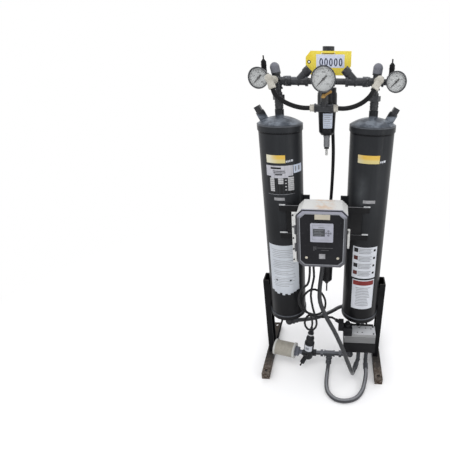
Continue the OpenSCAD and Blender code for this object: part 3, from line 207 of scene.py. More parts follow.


# Tower paint: charcoal with lighter vertical streaks that are a painted sheen, painted shade that darkens it
# downward, upper heads painted pale with a streaky painted reflection, a patchy painted highlight on the lips
# at both ends, a painted shadow line below the upper lip, and a smear on the front of the right tower; places
# in metres
def vessel_paint():
    t = Tree("vessel_paint")
    x, y, z = (t.axis(k) for k in "XYZ")
    painted_shade_heights = (1.05, 0.36)
    head_start, head_end = (1.230, 1.234), (1.264, 1.258)
    upper_lip, lower_lip, lip_soft = (1.2265, 1.2305), (0.3465, 0.3515), 0.0008
    skirt_shadow, skirt_shadow_soft = (1.2005, 1.2062), 0.0012
    smear_x, smear_z, smear_front = (0.128, 0.158, 0.014), (0.935, 1.035, 0.035), (0.0, -0.02)
    col = t.mix(t.ramp(t.noise(6, 4.0), 0.35, 0.7), (0.022, 0.0235, 0.026), (0.030, 0.032, 0.035))
    # painted sheen: lighter vertical streaks on the shells
    sheen_streaks = t.ramp(t.noise(34, 4.0, 0.6, (1, 1, 0.05)), 0.48, 0.74)
    col = t.mix(t.times(sheen_streaks, 0.35), col, (0.046, 0.049, 0.054))
    # painted shade: the colour turns darker toward the bottom of the shells, from 1.05 m down to 0.36 m
    dark = t.mix(t.noise(9, 4.0), (0.005, 0.005, 0.006), (0.009, 0.009, 0.010))
    col = t.mix(t.step(z, *painted_shade_heights), col, dark)
    # painted reflection: the upper heads are painted pale blue-grey in streaky patches
    head = t.times(t.step(z, *head_start), t.step(z, *head_end))
    head_reflection = t.ramp(t.noise(26, 5.0, 0.6, (1, 1, 2.5)), 0.42, 0.60)
    col = t.mix(t.times(head, 0.9), col, t.mix(head_reflection, (0.080, 0.092, 0.112), (0.235, 0.262, 0.30)))
    # painted highlight: pale patchy bands along the lips at both ends, the lower one on the weld bead
    lip_highlights = t.math("ADD", t.band(z, *upper_lip, lip_soft), t.band(z, *lower_lip, lip_soft))
    col = t.mix(t.times(lip_highlights, t.scaled(t.noise(60, 4.0), 0.8, 0.15)), col, (0.15, 0.16, 0.18))
    # painted shadow: a dark line just below the upper weld bead and skirt edge
    col = t.mix(t.times(t.band(z, *skirt_shadow, skirt_shadow_soft), 0.8), col, (0.003, 0.003, 0.004))
    scuff = t.ramp(t.noise(60, 8.0, 0.75), 0.68, 0.73)
    col = t.mix(t.times(scuff, 0.22), col, (0.12, 0.12, 0.13))
    smear = t.times(t.band(x, *smear_x), t.band(z, *smear_z))
    smear = t.times(smear, t.step(y, *smear_front))
    col = t.mix(t.times(smear, t.times(t.noise(30, 4.0), 0.55)), col, (0.13, 0.14, 0.15))
    rough = t.scaled(t.noise(14, 3.0), 0.12, 0.26)
    peel = t.math("ADD", t.noise(160, 2.0), t.times(t.noise(18, 2.0), 1.5))
    return t.finish(col, rough, 0.0, t.bump(peel, 0.14, 0.0012), 0.10)


# Black paint of the legs, rusty on the feet toward the front, browner at their rear; places in metres
def frame_paint():
    t = Tree("frame_paint")
    y = t.axis("Y")
    foot_height, toward_front, toward_rear = (0.06, 0.035), (0.02, -0.11), (0.10, 0.17)
    foot = t.step(t.axis("Z"), *foot_height)
    col = t.mix(t.ramp(t.noise(10, 4.0), 0.35, 0.7), (0.004, 0.004, 0.005), (0.011, 0.011, 0.012))
    low = t.times(foot, t.step(y, *toward_front))
    worn = t.math("ADD", t.times(low, 0.62), t.times(t.noise(26, 6.0, 0.7), 0.75))
    rust = t.ramp(worn, 0.66, 0.90)
    speckle = t.ramp(t.noise(85, 6.0, 0.7), 0.40, 0.62)
    col = t.mix(t.times(rust, 0.9), col, t.mix(speckle, (0.035, 0.018, 0.011), (0.17, 0.15, 0.13)))
    edge = t.times(t.upward(), t.times(t.noise(50, 5.0), 0.35))
    col = t.mix(edge, col, (0.20, 0.18, 0.16))
    rear = t.times(foot, t.step(y, *toward_rear))
    col = t.mix(t.times(rear, t.times(t.noise(30, 5.0), 0.7)), col, (0.06, 0.035, 0.02))
    return t.finish(col, t.scaled(rust, 0.4, 0.42), 0.0, t.bump(t.noise(130, 4.0), 0.25), 0.08)


# Muffler: along its axis lie a dark hub, a pale cap, the fibrous filter and a pale end cap; places in metres
def muffler_mat():
    t = Tree("muffler")
    turn = math.radians(12)
    axis = Vector((-math.cos(turn), math.sin(turn), 0))
    axis_start, port_reach = Vector((-0.070, -0.086, 0)), 0.034
    hub_end, cap_end, end_cap = (0.0375, 0.0380), (0.0477, 0.0472), (0.1387, 0.1392)
    dot = t.nt.nodes.new("ShaderNodeVectorMath")
    dot.operation = "DOT_PRODUCT"
    t.nt.links.new(t.coord, dot.inputs[0])
    dot.inputs[1].default_value = axis
    along = t.math("SUBTRACT", dot.outputs["Value"], axis_start.dot(axis) + port_reach)
    fibre = t.noise(90, 6.0, 0.7, (1, 0.25, 1))
    media = t.mix(fibre, (0.20, 0.185, 0.15), (0.40, 0.38, 0.33))
    cap = t.mix(t.noise(40, 5.0), (0.42, 0.42, 0.40), (0.55, 0.55, 0.53))
    hub = t.mix(t.noise(50, 4.0), (0.05, 0.055, 0.07), (0.13, 0.14, 0.17))
    near = t.times(t.step(along, *hub_end), t.step(along, *cap_end))
    far = t.step(along, *end_cap)
    col = t.mix(t.math("ADD", near, far, clamp=True), media, cap)
    col = t.mix(t.step(along, *reversed(hub_end)), col, hub)
    return t.finish(col, 0.6, 0.0, t.bump(fibre, 0.35, 0.002))


# Switching valve: brushed grey sides, paler top plate, grime in spots
def valve_silver():
    t = Tree("valve_silver")
    plate_height = (0.2674, 0.2678)
    grain = t.noise(60, 5.0, 0.6, (0.06, 1, 1))
    col = t.mix(grain, (0.20, 0.203, 0.206), (0.33, 0.333, 0.336))
    top = t.step(t.axis("Z"), *plate_height)
    col = t.mix(top, col, t.mix(t.noise(45, 5.0), (0.54, 0.555, 0.58), (0.68, 0.69, 0.71)))
    grime = t.ramp(t.noise(55, 8.0, 0.7), 0.62, 0.70)
    col = t.mix(t.times(grime, 0.5), col, (0.10, 0.10, 0.10))
    return t.finish(col, t.scaled(grain, 0.2, 0.33), t.scaled(top, -0.35, 0.45), t.bump(grain, 0.15))


# Valve base: black block, with hose tails of grey rubber below it
def base_mat():
    t = Tree("valve_base")
    tail_height = (0.1285, 0.1275)
    black = t.mix(t.noise(14, 4.0), (0.004, 0.004, 0.005), (0.009, 0.009, 0.010))
    tail = t.mix(t.noise(25, 4.0), (0.042, 0.044, 0.049), (0.075, 0.078, 0.085))
    col = t.mix(t.step(t.axis("Z"), *tail_height), black, tail)
    return t.finish(col, t.scaled(t.noise(40, 3.0), 0.15, 0.32), 0.0, t.grain(220, 0.2), 0.12)


# Automatic drain: grey body, black ring, whitish barbed tip
def drain_mat():
    t = Tree("drain")
    z = t.axis("Z")
    ring_height, tip_height = (1.1452, 1.1448), (1.1362, 1.1358)
    body = t.mix(t.noise(30, 4.0), (0.15, 0.155, 0.165), (0.24, 0.245, 0.255))
    tip = t.mix(t.noise(50, 4.0), (0.52, 0.52, 0.50), (0.66, 0.66, 0.64))
    col = t.mix(t.step(z, *ring_height), body, (0.012, 0.012, 0.013))
    col = t.mix(t.step(z, *tip_height), col, tip)
    return t.finish(col, t.scaled(t.noise(60, 3.0), 0.15, 0.42), 0.0, t.grain(200, 0.15))


# Purge valve: black iron body, bare brass stem at its front
def purge_mat():
    t = Tree("purge_valve")
    stem_depth = (-0.0730, -0.0738)
    iron = t.mix(t.noise(16, 4.0), (0.008, 0.009, 0.010), (0.030, 0.031, 0.034))
    brass = t.mix(t.noise(40, 4.0), (0.30, 0.17, 0.05), (0.50, 0.33, 0.12))
    stem = t.step(t.axis("Y"), *stem_depth)
    rough = t.scaled(t.noise(40, 3.0), 0.2, 0.32)
    return t.finish(t.mix(stem, iron, brass), rough, t.times(stem, 0.7), t.grain(190, 0.3))


# Cover frame: dark grey, with a painted highlight along its top bevel, a slightly paler foot and a painted
# shadow line in the step at its lip
def cover_mat():
    t = Tree("cover")
    z = t.axis("Z")
    bevel_highlight_height, foot_height = (0.925, 0.938), (0.745, 0.730)
    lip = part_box("box_cover")[0].y + 0.005
    lip_shadow_start, lip_shadow_end, lip_shadow_soft = lip - 0.0005, lip + 0.0010, 0.0003
    col = t.mix(t.noise(14, 4.0), (0.045, 0.046, 0.053), (0.085, 0.087, 0.097))
    # painted highlight: pale lilac along the top bevel
    col = t.mix(t.times(t.step(z, *bevel_highlight_height), 0.85), col, (0.33, 0.335, 0.40))
    col = t.mix(t.times(t.step(z, *foot_height), 0.5), col, (0.10, 0.10, 0.12))
    worn = t.ramp(t.noise(90, 6.0, 0.7), 0.58, 0.72)
    col = t.mix(t.times(worn, 0.35), col, (0.42, 0.42, 0.44))
    # painted shadow: a dark line in the step at the cover's lip
    col = t.mix(t.band(t.axis("Y"), lip_shadow_start, lip_shadow_end, lip_shadow_soft), col, (0.012, 0.012, 0.015))
    return t.finish(col, t.scaled(t.noise(30, 3.0), 0.14, 0.36), 0.0, t.grain(220, 0.12))


# Box: off-white, grimy in spots, with a tan stain on its top
def box_mat():
    t = Tree("box")
    stain_x, box_top = (-0.030, 0.034, 0.016), (0.954, 0.956)
    col = t.mix(t.noise(14, 4.0), (0.60, 0.605, 0.595), (0.74, 0.74, 0.72))
    grime = t.ramp(t.noise(95, 6.0, 0.7), 0.57, 0.74)
    col = t.mix(t.times(grime, 0.5), col, (0.30, 0.27, 0.22))
    stain = t.times(t.band(t.axis("X"), *stain_x), t.step(t.axis("Z"), *box_top))
    stain = t.times(stain, t.ramp(t.noise(38, 5.0), 0.42, 0.68, 0.8), clamp=True)
    col = t.mix(stain, col, (0.62, 0.43, 0.28))
    return t.finish(col, 0.5, 0.0, t.grain(200, 0.12))


# Circuit board: green, with dark and pale blocks standing on it
def board_mat():
    t = Tree("board")
    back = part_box("control_board")[1].y
    board_face = (back - 0.0122, back - 0.0126)
    dark_above = (0.800, 0.801)
    green = t.mix(t.noise(60, 4.0), (0.012, 0.075, 0.038), (0.03, 0.13, 0.065))
    dark = t.mix(t.noise(80, 3.0), (0.012, 0.012, 0.014), (0.035, 0.036, 0.04))
    pale = t.mix(t.noise(80, 3.0), (0.30, 0.31, 0.33), (0.45, 0.46, 0.48))
    block = t.mix(t.step(t.axis("Z"), *dark_above), pale, dark)
    col = t.mix(t.step(t.axis("Y"), *board_face), green, block)
    return t.finish(col, t.scaled(t.noise(40, 3.0), 0.15, 0.35), 0.0, t.grain(200, 0.1))


# Field of colour on a tower: pale at its left and lower edges, full amber toward its upper right; the change
# across begins at the share start of the width
def amber_field(name, x0, x1, z0, z1, start):
    t = Tree(name)
    change, rise_start, rise_end = 0.45, 0.36, 0.58
    wide, high = x1 - x0, z1 - z0
    across = t.step(t.axis("X"), (x0 + start * wide) * MM, (x0 + (start + change) * wide) * MM)
    rise = t.step(t.axis("Z"), (z0 + rise_start * high) * MM, (z0 + rise_end * high) * MM)
    pale = t.mix(across, (0.66, 0.63, 0.48), (0.60, 0.50, 0.20))
    full = t.mix(t.noise(80, 4.0), (0.64, 0.38, 0.040), (0.68, 0.47, 0.09))
    return t.finish(t.mix(t.times(across, rise), pale, full), 0.45, 0.0, t.grain(220, 0.05))


# Hose or cable, with a painted highlight on its upward faces where one is given
def rubber(name, a, b, rough, spec=0.2, top_highlight=None):
    t = Tree(name)
    col = t.mix(t.noise(25, 4.0), a, b)
    # painted highlight: upward faces turn pale
    if top_highlight:
        col = t.mix(t.times(t.upward(0.70, 1.0), 0.9), col, top_highlight)
    return t.finish(col, t.scaled(t.noise(40, 3.0), 0.15, rough), 0.0, t.grain(260, 0.2), spec)


def lens_mat():
    t = Tree("lens")
    clear = t.nt.nodes.new("ShaderNodeBsdfTransparent")
    gloss = t.nt.nodes.new("ShaderNodeBsdfGlossy")
    gloss.inputs["Roughness"].default_value = 0.08
    mixer = t.nt.nodes.new("ShaderNodeMixShader")
    t.set(mixer.inputs[0], t.scaled(t.noise(30, 3.0), 0.04, 0.03))
    t.nt.links.new(clear.outputs[0], mixer.inputs[1])
    t.nt.links.new(gloss.outputs[0], mixer.inputs[2])
    t.nt.links.new(mixer.outputs[0], t.out.inputs[0])
    return t.mat


# Amber fields in mm: (x0, x1, z0, z1) as seen from the front
AMBER_LEFT = (-221, -149, 1096, 1126)
AMBER_RIGHT = (124, 204, 1101, 1132)
M = {
    "vessel": vessel_paint(),
    "frame": frame_paint(),
    "bead": surface("bead", (0.70, 0.66, 0.56), (0.82, 0.79, 0.70), 0.8, scale=120, bump=0.6),
    "screen": surface("screen", (0.35, 0.35, 0.36), (0.5, 0.5, 0.51), 0.4, metal=0.9),
    # iron and check: the pale spots are dust and painted glints, the pale tops dust and a painted highlight
    "iron": surface("iron", (0.012, 0.013, 0.015), (0.036, 0.038, 0.043), 0.34, 0.2, 16, 190, 0.35,
                    dust_and_glints=(0.21, 0.21, 0.22, 0.5), top=(0.18, 0.19, 0.21, 0.7), spec=0.34),
    "check": surface("check", (0.015, 0.016, 0.019), (0.044, 0.047, 0.054), 0.34, 0.2, 16, 190, 0.35,
                     dust_and_glints=(0.21, 0.215, 0.225, 0.5), top=(0.21, 0.22, 0.25, 0.7), spec=0.34),
    "cap": surface("cap", (0.135, 0.140, 0.165), (0.20, 0.205, 0.235), 0.42, scale=14),
    "black": surface("black", (0.004, 0.004, 0.005), (0.010, 0.010, 0.011), 0.40, scale=14, spec=0.14),
    "base": base_mat(),
    # bracket: the pale top is a painted highlight on the bars' top faces
    "bracket": surface("bracket", (0.005, 0.005, 0.006), (0.014, 0.014, 0.015), 0.42, scale=14,
                       top=(0.24, 0.24, 0.25, 1.0), spec=0.12),
    "gauge": surface("gauge", (0.055, 0.057, 0.062), (0.10, 0.103, 0.11), 0.33, scale=20, metal=0.4),
    "needle": surface("needle", (0.008, 0.008, 0.008), (0.016, 0.016, 0.016), 0.5),
    "lens": lens_mat(),
    "filter": surface("filter", (0.006, 0.006, 0.007), (0.015, 0.016, 0.018), 0.36, scale=12,
                      dust_and_glints=(0.10, 0.10, 0.11, 0.2), top=(0.09, 0.095, 0.11, 0.4), spec=0.16),
    "drain": drain_mat(),
    "purge": purge_mat(),
    "brass": surface("brass", (0.33, 0.19, 0.06), (0.52, 0.34, 0.13), 0.38, 0.2, 40, metal=0.75,
                     dust_and_glints=(0.22, 0.16, 0.08, 0.5)),
    "cream": surface("cream", (0.42, 0.40, 0.35), (0.57, 0.55, 0.49), 0.42, scale=40,
                     dust_and_glints=(0.30, 0.27, 0.20, 0.6)),
    "tag": surface("tag", (0.86, 0.66, 0.06), (0.90, 0.77, 0.14), 0.45, scale=22, bump=0.05),
    "box": box_mat(),
    "board": board_mat(),
    "cover": cover_mat(),
    "plate": surface("plate", (0.006, 0.006, 0.008), (0.013, 0.013, 0.016), 0.40, scale=10,
                     dust_and_glints=(0.075, 0.075, 0.08, 0.3), spec=0.16),
    "display": surface("display", (0.33, 0.335, 0.39), (0.42, 0.425, 0.49), 0.45, scale=30),
    "latch": surface("latch", (0.45, 0.45, 0.44), (0.60, 0.60, 0.58), 0.5, scale=30,
                     dust_and_glints=(0.2, 0.19, 0.17, 0.4)),
    "muffler": muffler_mat(),
    "silver": valve_silver(),
    "coil": surface("coil", (0.005, 0.005, 0.006), (0.012, 0.012, 0.014), 0.45, scale=20, spec=0.14),
    "hose": rubber("hose", (0.005, 0.005, 0.006), (0.010, 0.010, 0.011), 0.28, 0.16),
    # loop and feed: the last colour is a painted highlight on the hoses' upward faces
    "loop": rubber("loop", (0.022, 0.023, 0.027), (0.040, 0.042, 0.048), 0.22, 0.4, (0.25, 0.255, 0.27)),
    "feed": rubber("feed", (0.016, 0.017, 0.019), (0.030, 0.031, 0.035), 0.22, 0.4, (0.10, 0.103, 0.11)),
    "cable": rubber("cable", (0.006, 0.006, 0.007), (0.012, 0.012, 0.013), 0.36),
    "paper": surface("paper", (0.52, 0.54, 0.58), (0.62, 0.64, 0.68), 0.5, scale=14, bump=0.05,
                     dust_and_glints=(0.45, 0.45, 0.46, 0.35)),
    "sheet": surface("sheet", (0.46, 0.49, 0.53), (0.57, 0.60, 0.64), 0.5, scale=10, bump=0.05,
                     dust_and_glints=(0.38, 0.40, 0.44, 0.35)),
    "plate_paper": surface("plate_paper", (0.42, 0.42, 0.46), (0.52, 0.52, 0.56), 0.5, scale=40, bump=0.05,
                           dust_and_glints=(0.36, 0.36, 0.40, 0.4)),
    "tag_paper": surface("tag_paper", (0.64, 0.68, 0.82), (0.74, 0.78, 0.90), 0.45, scale=30, bump=0.05),
    "blue_paper": surface("blue_paper", (0.52, 0.58, 0.70), (0.64, 0.69, 0.78), 0.45, scale=30, bump=0.05),
    "ink": surface("ink", (0.006, 0.006, 0.007), (0.014, 0.014, 0.016), 0.5, scale=40, bump=0.05, spec=0.25),
    "ink_grey": surface("ink_grey", (0.22, 0.23, 0.25), (0.33, 0.34, 0.36), 0.5, scale=60, bump=0.05),
    "ink_pale": surface("ink_pale", (0.38, 0.38, 0.39), (0.56, 0.56, 0.57), 0.5, scale=150, bump=0.05,
                        dust_and_glints=(0.16, 0.16, 0.16, 0.6)),
    "ink_blue": surface("ink_blue", (0.012, 0.017, 0.045), (0.025, 0.032, 0.07), 0.5, scale=50, bump=0.05),
    "ink_red": surface("ink_red", (0.15, 0.015, 0.014), (0.21, 0.028, 0.025), 0.45, scale=30, bump=0.05),
    "ink_brown": surface("ink_brown", (0.055, 0.012, 0.010), (0.10, 0.022, 0.018), 0.45, scale=30, bump=0.05),
    "amber_left": amber_field("amber_left", *AMBER_LEFT, 0.18),
    "amber_right": amber_field("amber_right", *AMBER_RIGHT, -0.15),
    "beige": surface("beige", (0.43, 0.40, 0.32), (0.52, 0.48, 0.39), 0.55, scale=30),
    "dial": surface("dial", (0.44, 0.455, 0.455), (0.52, 0.535, 0.53), 0.5, scale=20, bump=0.02),
    "lcd": surface("lcd", (0.045, 0.048, 0.054), (0.075, 0.078, 0.084), 0.25, scale=40, bump=0.02),
    "tie": surface("tie", (0.16, 0.09, 0.03), (0.24, 0.14, 0.06), 0.5, scale=60),
    "faint": surface("faint", (0.040, 0.040, 0.044), (0.075, 0.075, 0.080), 0.5, scale=120),
    "chalk": surface("chalk", (0.22, 0.22, 0.23), (0.38, 0.38, 0.39), 0.7, scale=60, bump=0.3),
    "pad": surface("pad", (0.42, 0.43, 0.44), (0.60, 0.61, 0.62), 0.7, scale=60, bump=0.3),
}

FINISH = {
    "vessel": ["left_vessel", "right_vessel"],
    "frame": ["left_leg", "right_leg"],
    "bead": ["left_bed", "right_bed"],
    "screen": ["strainers"],
    "iron": ["fill_plugs", "tower_nipples", "unions", "left_cross", "right_cross", "manifold_nipples",
             "gauge_blocks", "outlet_cross", "outlet_riser", "purge_takeoff", "purge_tee", "tower_elbow"],
    "check": ["left_check_valve", "right_check_valve", "exhaust_pipe"],
    "cap": ["port_caps"],
    "black": ["relief_valves"],
    "base": ["valve_base"],
    "bracket": ["box_bracket"],
    "gauge": ["left_gauge", "right_gauge", "centre_gauge"],
    "needle": ["left_pointer", "right_pointer", "centre_pointer"],
    "lens": ["gauge_lenses"],
    "filter": ["filter_head", "filter_bowl", "prefilter", "exhaust_valve"],
    "drain": ["filter_drain"],
    "purge": ["purge_valve"],
    "brass": ["purge_handle"],
    "cream": ["purge_fittings", "purge_elbows"],
    "tag": ["hang_tag"],
    "box": ["control_box"],
    "board": ["control_board"],
    "cover": ["box_cover"],
    "plate": ["faceplate"],
    "display": ["display"],
    "latch": ["cover_latch"],
    "muffler": ["muffler"],
    "silver": ["valve_body"],
    "coil": ["solenoid"],
}
for key, names in FINISH.items():
    for name in names:
        for slot in NODES[name].material_slots:
            slot.material = M[key]


# Mesh pieces that ride on the CAD bodies, with sizes in mm
def piece(name, verts, faces, mat, body="stand", smooth=False):
    me = bpy.data.meshes.new(name)
    me.from_pydata([Vector(v) * MM for v in verts], [], faces)
    me.materials.append(M[mat])
    if smooth:
        me.polygons.foreach_set("use_smooth", [True] * len(me.polygons))
    me.update()
    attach(add_object(name, me), body)


# Thin fields wrapped round an upright cylinder: each is (x0, x1, z0, z1) as seen from the front
WIDEST_SINE = 0.999


def wrapped(name, cx, cy, radius, rects, lift, mat, taper=0.0, z_ref=0.0, cols=8):
    verts, faces = [], []
    for x0, x1, z0, z1 in rects:
        base = len(verts)
        sines = [max(-WIDEST_SINE, min(WIDEST_SINE, (x - cx) / radius)) for x in (x0, x1)]
        a0, a1 = (math.asin(s) for s in sines)
        for i in range(cols + 1):
            a = a0 + (a1 - a0) * i / cols
            for z in (z0, z1):
                r = radius + lift + taper * (z - z_ref)
                verts.append((cx + r * math.sin(a), cy - r * math.cos(a), z))
        for i in range(cols):
            k = base + 2 * i
            faces.append((k, k + 2, k + 3, k + 1))
    piece(name, verts, faces, mat, smooth=True)


TOWER_X, TOWER_R = 176.0, 84.15
LEFT, RIGHT = -1, 1
LABEL_LIFT, LAYER_LIFT = 0.25, 0.15


# Fields on a tower, in layers of which a higher level lies on a lower one
def tower_label(name, side, rects, level, mat, cols=8):
    wrapped(name, side * TOWER_X, 0, TOWER_R, rects, LABEL_LIFT + LAYER_LIFT * level, mat, cols=cols)


# Flat fields on a plane that faces the front at depth y
def front(name, rects, y, mat, body="stand"):
    verts, faces = [], []
    for x0, x1, z0, z1 in rects:
        k = len(verts)
        verts += [(x0, y, z0), (x1, y, z0), (x1, y, z1), (x0, y, z1)]
        faces.append((k, k + 1, k + 2, k + 3))
    piece(name, verts, faces, mat, body)


# Thin line just outside a bevelled field: from gap to gap + wide beyond its edges
BEVEL_GROWTH = 0.41


def field_line(name, lo, hi, bevel, gap, wide, y, mat, body):
    verts = []
    for grow in (gap, gap + wide):
        x0, x1 = lo.x * TO_MM - grow, hi.x * TO_MM + grow
        z0, z1 = lo.z * TO_MM - grow, hi.z * TO_MM + grow
        c = bevel + BEVEL_GROWTH * grow
        verts += [(x0 + c, y, z0), (x1 - c, y, z0), (x1, y, z0 + c), (x1, y, z1 - c),
                  (x1 - c, y, z1), (x0 + c, y, z1), (x0, y, z1 - c), (x0, y, z0 + c)]
    faces = [(8 + i, 8 + (i + 1) % 8, (i + 1) % 8, i) for i in range(8)]
    piece(name, verts, faces, mat, body)


# Flat oval rings, each (middle x, middle z, half width, half height, line width)
def ring_fields(name, rings, y, mat, body="stand", n=28):
    verts, faces = [], []
    for cx, cz, rx, rz, w in rings:
        k = len(verts)
        for i in range(n):
            a = 2 * math.pi * i / n
            c, s = math.cos(a), math.sin(a)
            verts += [(cx + rx * c, y, cz + rz * s), (cx + (rx - w) * c, y, cz + (rz - w) * s)]
        for i in range(n):
            here, after = k + 2 * i, k + 2 * ((i + 1) % n)
            faces.append((here, after, after + 1, here + 1))
    piece(name, verts, faces, mat, body)


# Flat discs, each (middle x, middle z, radius)
def discs(name, spots, y, mat, body="stand", n=20):
    verts, faces = [], []
    for cx, cz, r in spots:
        k = len(verts)
        verts += [(cx + r * math.cos(2 * math.pi * i / n), y, cz + r * math.sin(2 * math.pi * i / n))
                  for i in range(n)]
        faces.append(tuple(range(k, k + n)))
    piece(name, verts, faces, mat, body)


# Round bar of radius r, closed along points
def loop(name, pts, r, mat, sides=8):
    verts, faces = [], []
    n = len(pts)
    for i, p in enumerate(pts):
        t = (Vector(pts[(i + 1) % n]) - Vector(pts[i - 1])).normalized()
        u = t.cross(Vector(UP)).normalized()
        v = t.cross(u)
        for k in range(sides):
            a = 2 * math.pi * k / sides
            verts.append(tuple(Vector(p) + r * (math.cos(a) * u + math.sin(a) * v)))
    for i in range(n):
        for k in range(sides):
            a, b = i * sides + k, i * sides + (k + 1) % sides
            c, d = ((i + 1) % n) * sides + k, ((i + 1) % n) * sides + (k + 1) % sides
            faces.append((a, b, d, c))
    piece(name, verts, faces, mat, smooth=True)


def hoop(name, cx, cy, z, radius, r, mat, n=72):
    pts = [(cx + radius * math.cos(2 * math.pi * i / n), cy + radius * math.sin(2 * math.pi * i / n), z)
           for i in range(n)]
    loop(name, pts, r, mat)


# Hexagon-headed screws: each is (x, y, z), with the axis along one of the frame's axes
def screws(name, spots, direction, r, h, mat):
    d = Vector(direction)
    u = d.orthogonal().normalized()
    v = d.cross(u)
    rim = [r * (math.cos(math.pi * i / 3) * u + math.sin(math.pi * i / 3) * v) for i in range(6)]
    verts, faces = [], []
    for p in spots:
        k = len(verts)
        for top in (0.0, h):
            verts += [tuple(Vector(p) + d * top + q) for q in rim]
        faces += [(k + i, k + (i + 1) % 6, k + 6 + (i + 1) % 6, k + 6 + i) for i in range(6)]
        faces.append(tuple(range(k + 6, k + 12)))
    piece(name, verts, faces, mat)


# Hoses and cables: the route points of the construction model, the second and second last of them put on the
# directions that the fittings at the two ends point in, and a smooth line through them all
SHORTEST_STUB = 4
LINE_STEPS = 36


def smooth_line(points, out_a, out_b):
    p = [Vector(q) for q in points]
    first, last = Vector(out_a).normalized(), Vector(out_b).normalized()
    p[1] = p[0] + first * max(SHORTEST_STUB, (p[1] - p[0]).dot(first))
    p[-2] = p[-1] + last * max(SHORTEST_STUB, (p[-2] - p[-1]).dot(last))
    span = [(b - a).length for a, b in zip(p, p[1:])]
    slope = [first]
    for i in range(1, len(span)):
        before, after = (p[i] - p[i - 1]) / span[i - 1], (p[i + 1] - p[i]) / span[i]
        slope.append((before * span[i] + after * span[i - 1]) / (span[i - 1] + span[i]))
    slope.append(-last)
    steps = max(2, round(LINE_STEPS / len(span)))
    line = []
    for i, h in enumerate(span):
        for t in (k / steps for k in range(steps)):
            line.append(p[i] * (2 * t ** 3 - 3 * t * t + 1) + slope[i] * h * (t ** 3 - 2 * t * t + t)
                        + p[i + 1] * (3 * t * t - 2 * t ** 3) + slope[i + 1] * h * (t ** 3 - t * t))
    return line + [p[-1]]


def add_cord(name, node, points, out_a, out_b, radius, mat):
    line = smooth_line(points, out_a, out_b)
    cu = bpy.data.curves.new(name, "CURVE")
    cu.dimensions = "3D"
    sp = cu.splines.new("POLY")
    sp.points.add(len(line) - 1)
    for q, v in zip(sp.points, line):
        q.co = (*(v * MM), 1)
    sp.use_smooth = True
    cu.bevel_depth = radius * MM
    cu.bevel_resolution = 5
    cu.use_fill_caps = True
    cu.materials.append(M[mat])
    obj = add_object(name, cu)
    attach(obj, "stand")
    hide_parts(node)


add_camera()
add_cord("left_purge_line", "left_purge_hose",
         [(-182, -76, 1355), (-174, -78, 1339), (-154, -74, 1319), (-119, -64, 1301), (-78, -57, 1292),
          (-56, -57, 1292)], (12, -4, -32), (-1, 0, 0), 8, "hose")
add_cord("right_purge_line", "right_purge_hose",
         [(166, -70, 1357), (157, -73, 1341), (137, -69, 1320), (104, -62, 1301), (66, -57, 1292),
          (44, -57, 1292)], (-17, -6, -29), (1, 0, 0), 8, "hose")
add_cord("loop_line", "loop_hose",
         [(30, -88, 50), (28, -102, 31), (25, -132, 16), (24, -172, 11), (34, -222, 11), (68, -256, 11),
          (116, -264, 11), (166, -248, 11), (199, -210, 14), (214, -166, 25), (220, -128, 38),
          (221, -106, 46)], (-4, -28, -42), (-1, -46, -14), 10, "loop")
add_cord("feed_line", "feed_hose",
         [(-8, -42, 640), (-8, -42, 610), (-13, -50, 555), (-18, -64, 496), (-15, -80, 445), (8, -104, 394),
          (54, -142, 328), (96, -172, 250), (124, -181, 170), (146, -162, 88), (158, -129, 53),
          (165, -106, 46)], DOWN, (-18, -46, -14), 10, "feed")
add_cord("crossover_line", "crossover_hose",
         [(-133, 8, 245), (-105, 13, 244), (-35, 40, 239), (35, 86, 241), (95, 124, 248), (152, 133, 237),
          (198, 84, 194), (205, 44, 182)], (43, 8, 0), (0, 1, 0), 10, "feed")
add_cord("solenoid_lead", "solenoid_cable",
         [(-56, -130.45, 702), (-56, -130, 664), (-60, -116, 602), (-70, -104, 556), (-96, -98, 524),
          (-112, -98, 470), (-98, -99, 413), (-66, -92, 382), (-30, -76, 362), (-1, -57, 366), (10, -46, 404),
          (0, -45, 448), (-24, -51, 484), (-60, -76, 506), (-88, -90, 482), (-93, -96, 442), (-78, -105, 404),
          (-46, -108, 382), (6, -101, 370), (44, -94, 364), (62, -94, 350)],
         DOWN, (-4, 0, 3), 5, "cable")
add_cord("exhaust_lead", "exhaust_cable",
         [(-40, -130.45, 702), (-40, -130, 664), (-40, -110, 602), (-50, -92, 540), (-57, -86, 480),
          (-48, -98, 424), (-33, -118, 380), (-28, -119, 342), (-44, -121, 308), (-70, -119, 309),
          (-85, -112, 340), (-76, -98, 364), (-64, -80, 360), (-57, -69, 332), (-56, -66, 298),
          (-56, -66, 268)], DOWN, (22, 0, 194), 5, "cable")
add_cord("drain_line", "drain_tube",
         [(24, 40, 1276), (24, 40, 1236), (29, 40, 1110), (25, 37, 940), (12, 24, 745), (12, 24, 705)],
         DOWN, UP, 7, "cable")

# Labels on the left tower: amber field, plate, dark table of pale columns
tower_label("left_amber", LEFT, [AMBER_LEFT], 0, "amber_left")
tower_label("left_amber_bars", LEFT, [(-147, -143, 1098, 1105), (-141, -137, 1098, 1106),
                                      (-135, -131, 1099, 1107), (-129, -122, 1100, 1108)], 0, "paper", 2)
tower_label("left_plate", LEFT, [(-224, -123, 1045, 1086)], 0, "plate_paper")
tower_label("left_plate_foot", LEFT, [(-206, -140, 1038, 1045)], 0, "plate_paper")
tower_label("left_plate_bar", LEFT, [(-206, -166, 1073, 1080)], 1, "ink", 4)
tower_label("left_plate_lines", LEFT, [(-198, -152, 1064, 1067), (-196, -150, 1057, 1060),
                                       (-190, -162, 1049, 1054)], 1, "ink")
tower_label("left_small", LEFT, [(-121, -96, 1053, 1086)], 0, "blue_paper", 4)
tower_label("left_small_bars", LEFT, [(-116, -112, 1060, 1080), (-106, -101, 1062, 1080)], 1, "ink_grey", 3)
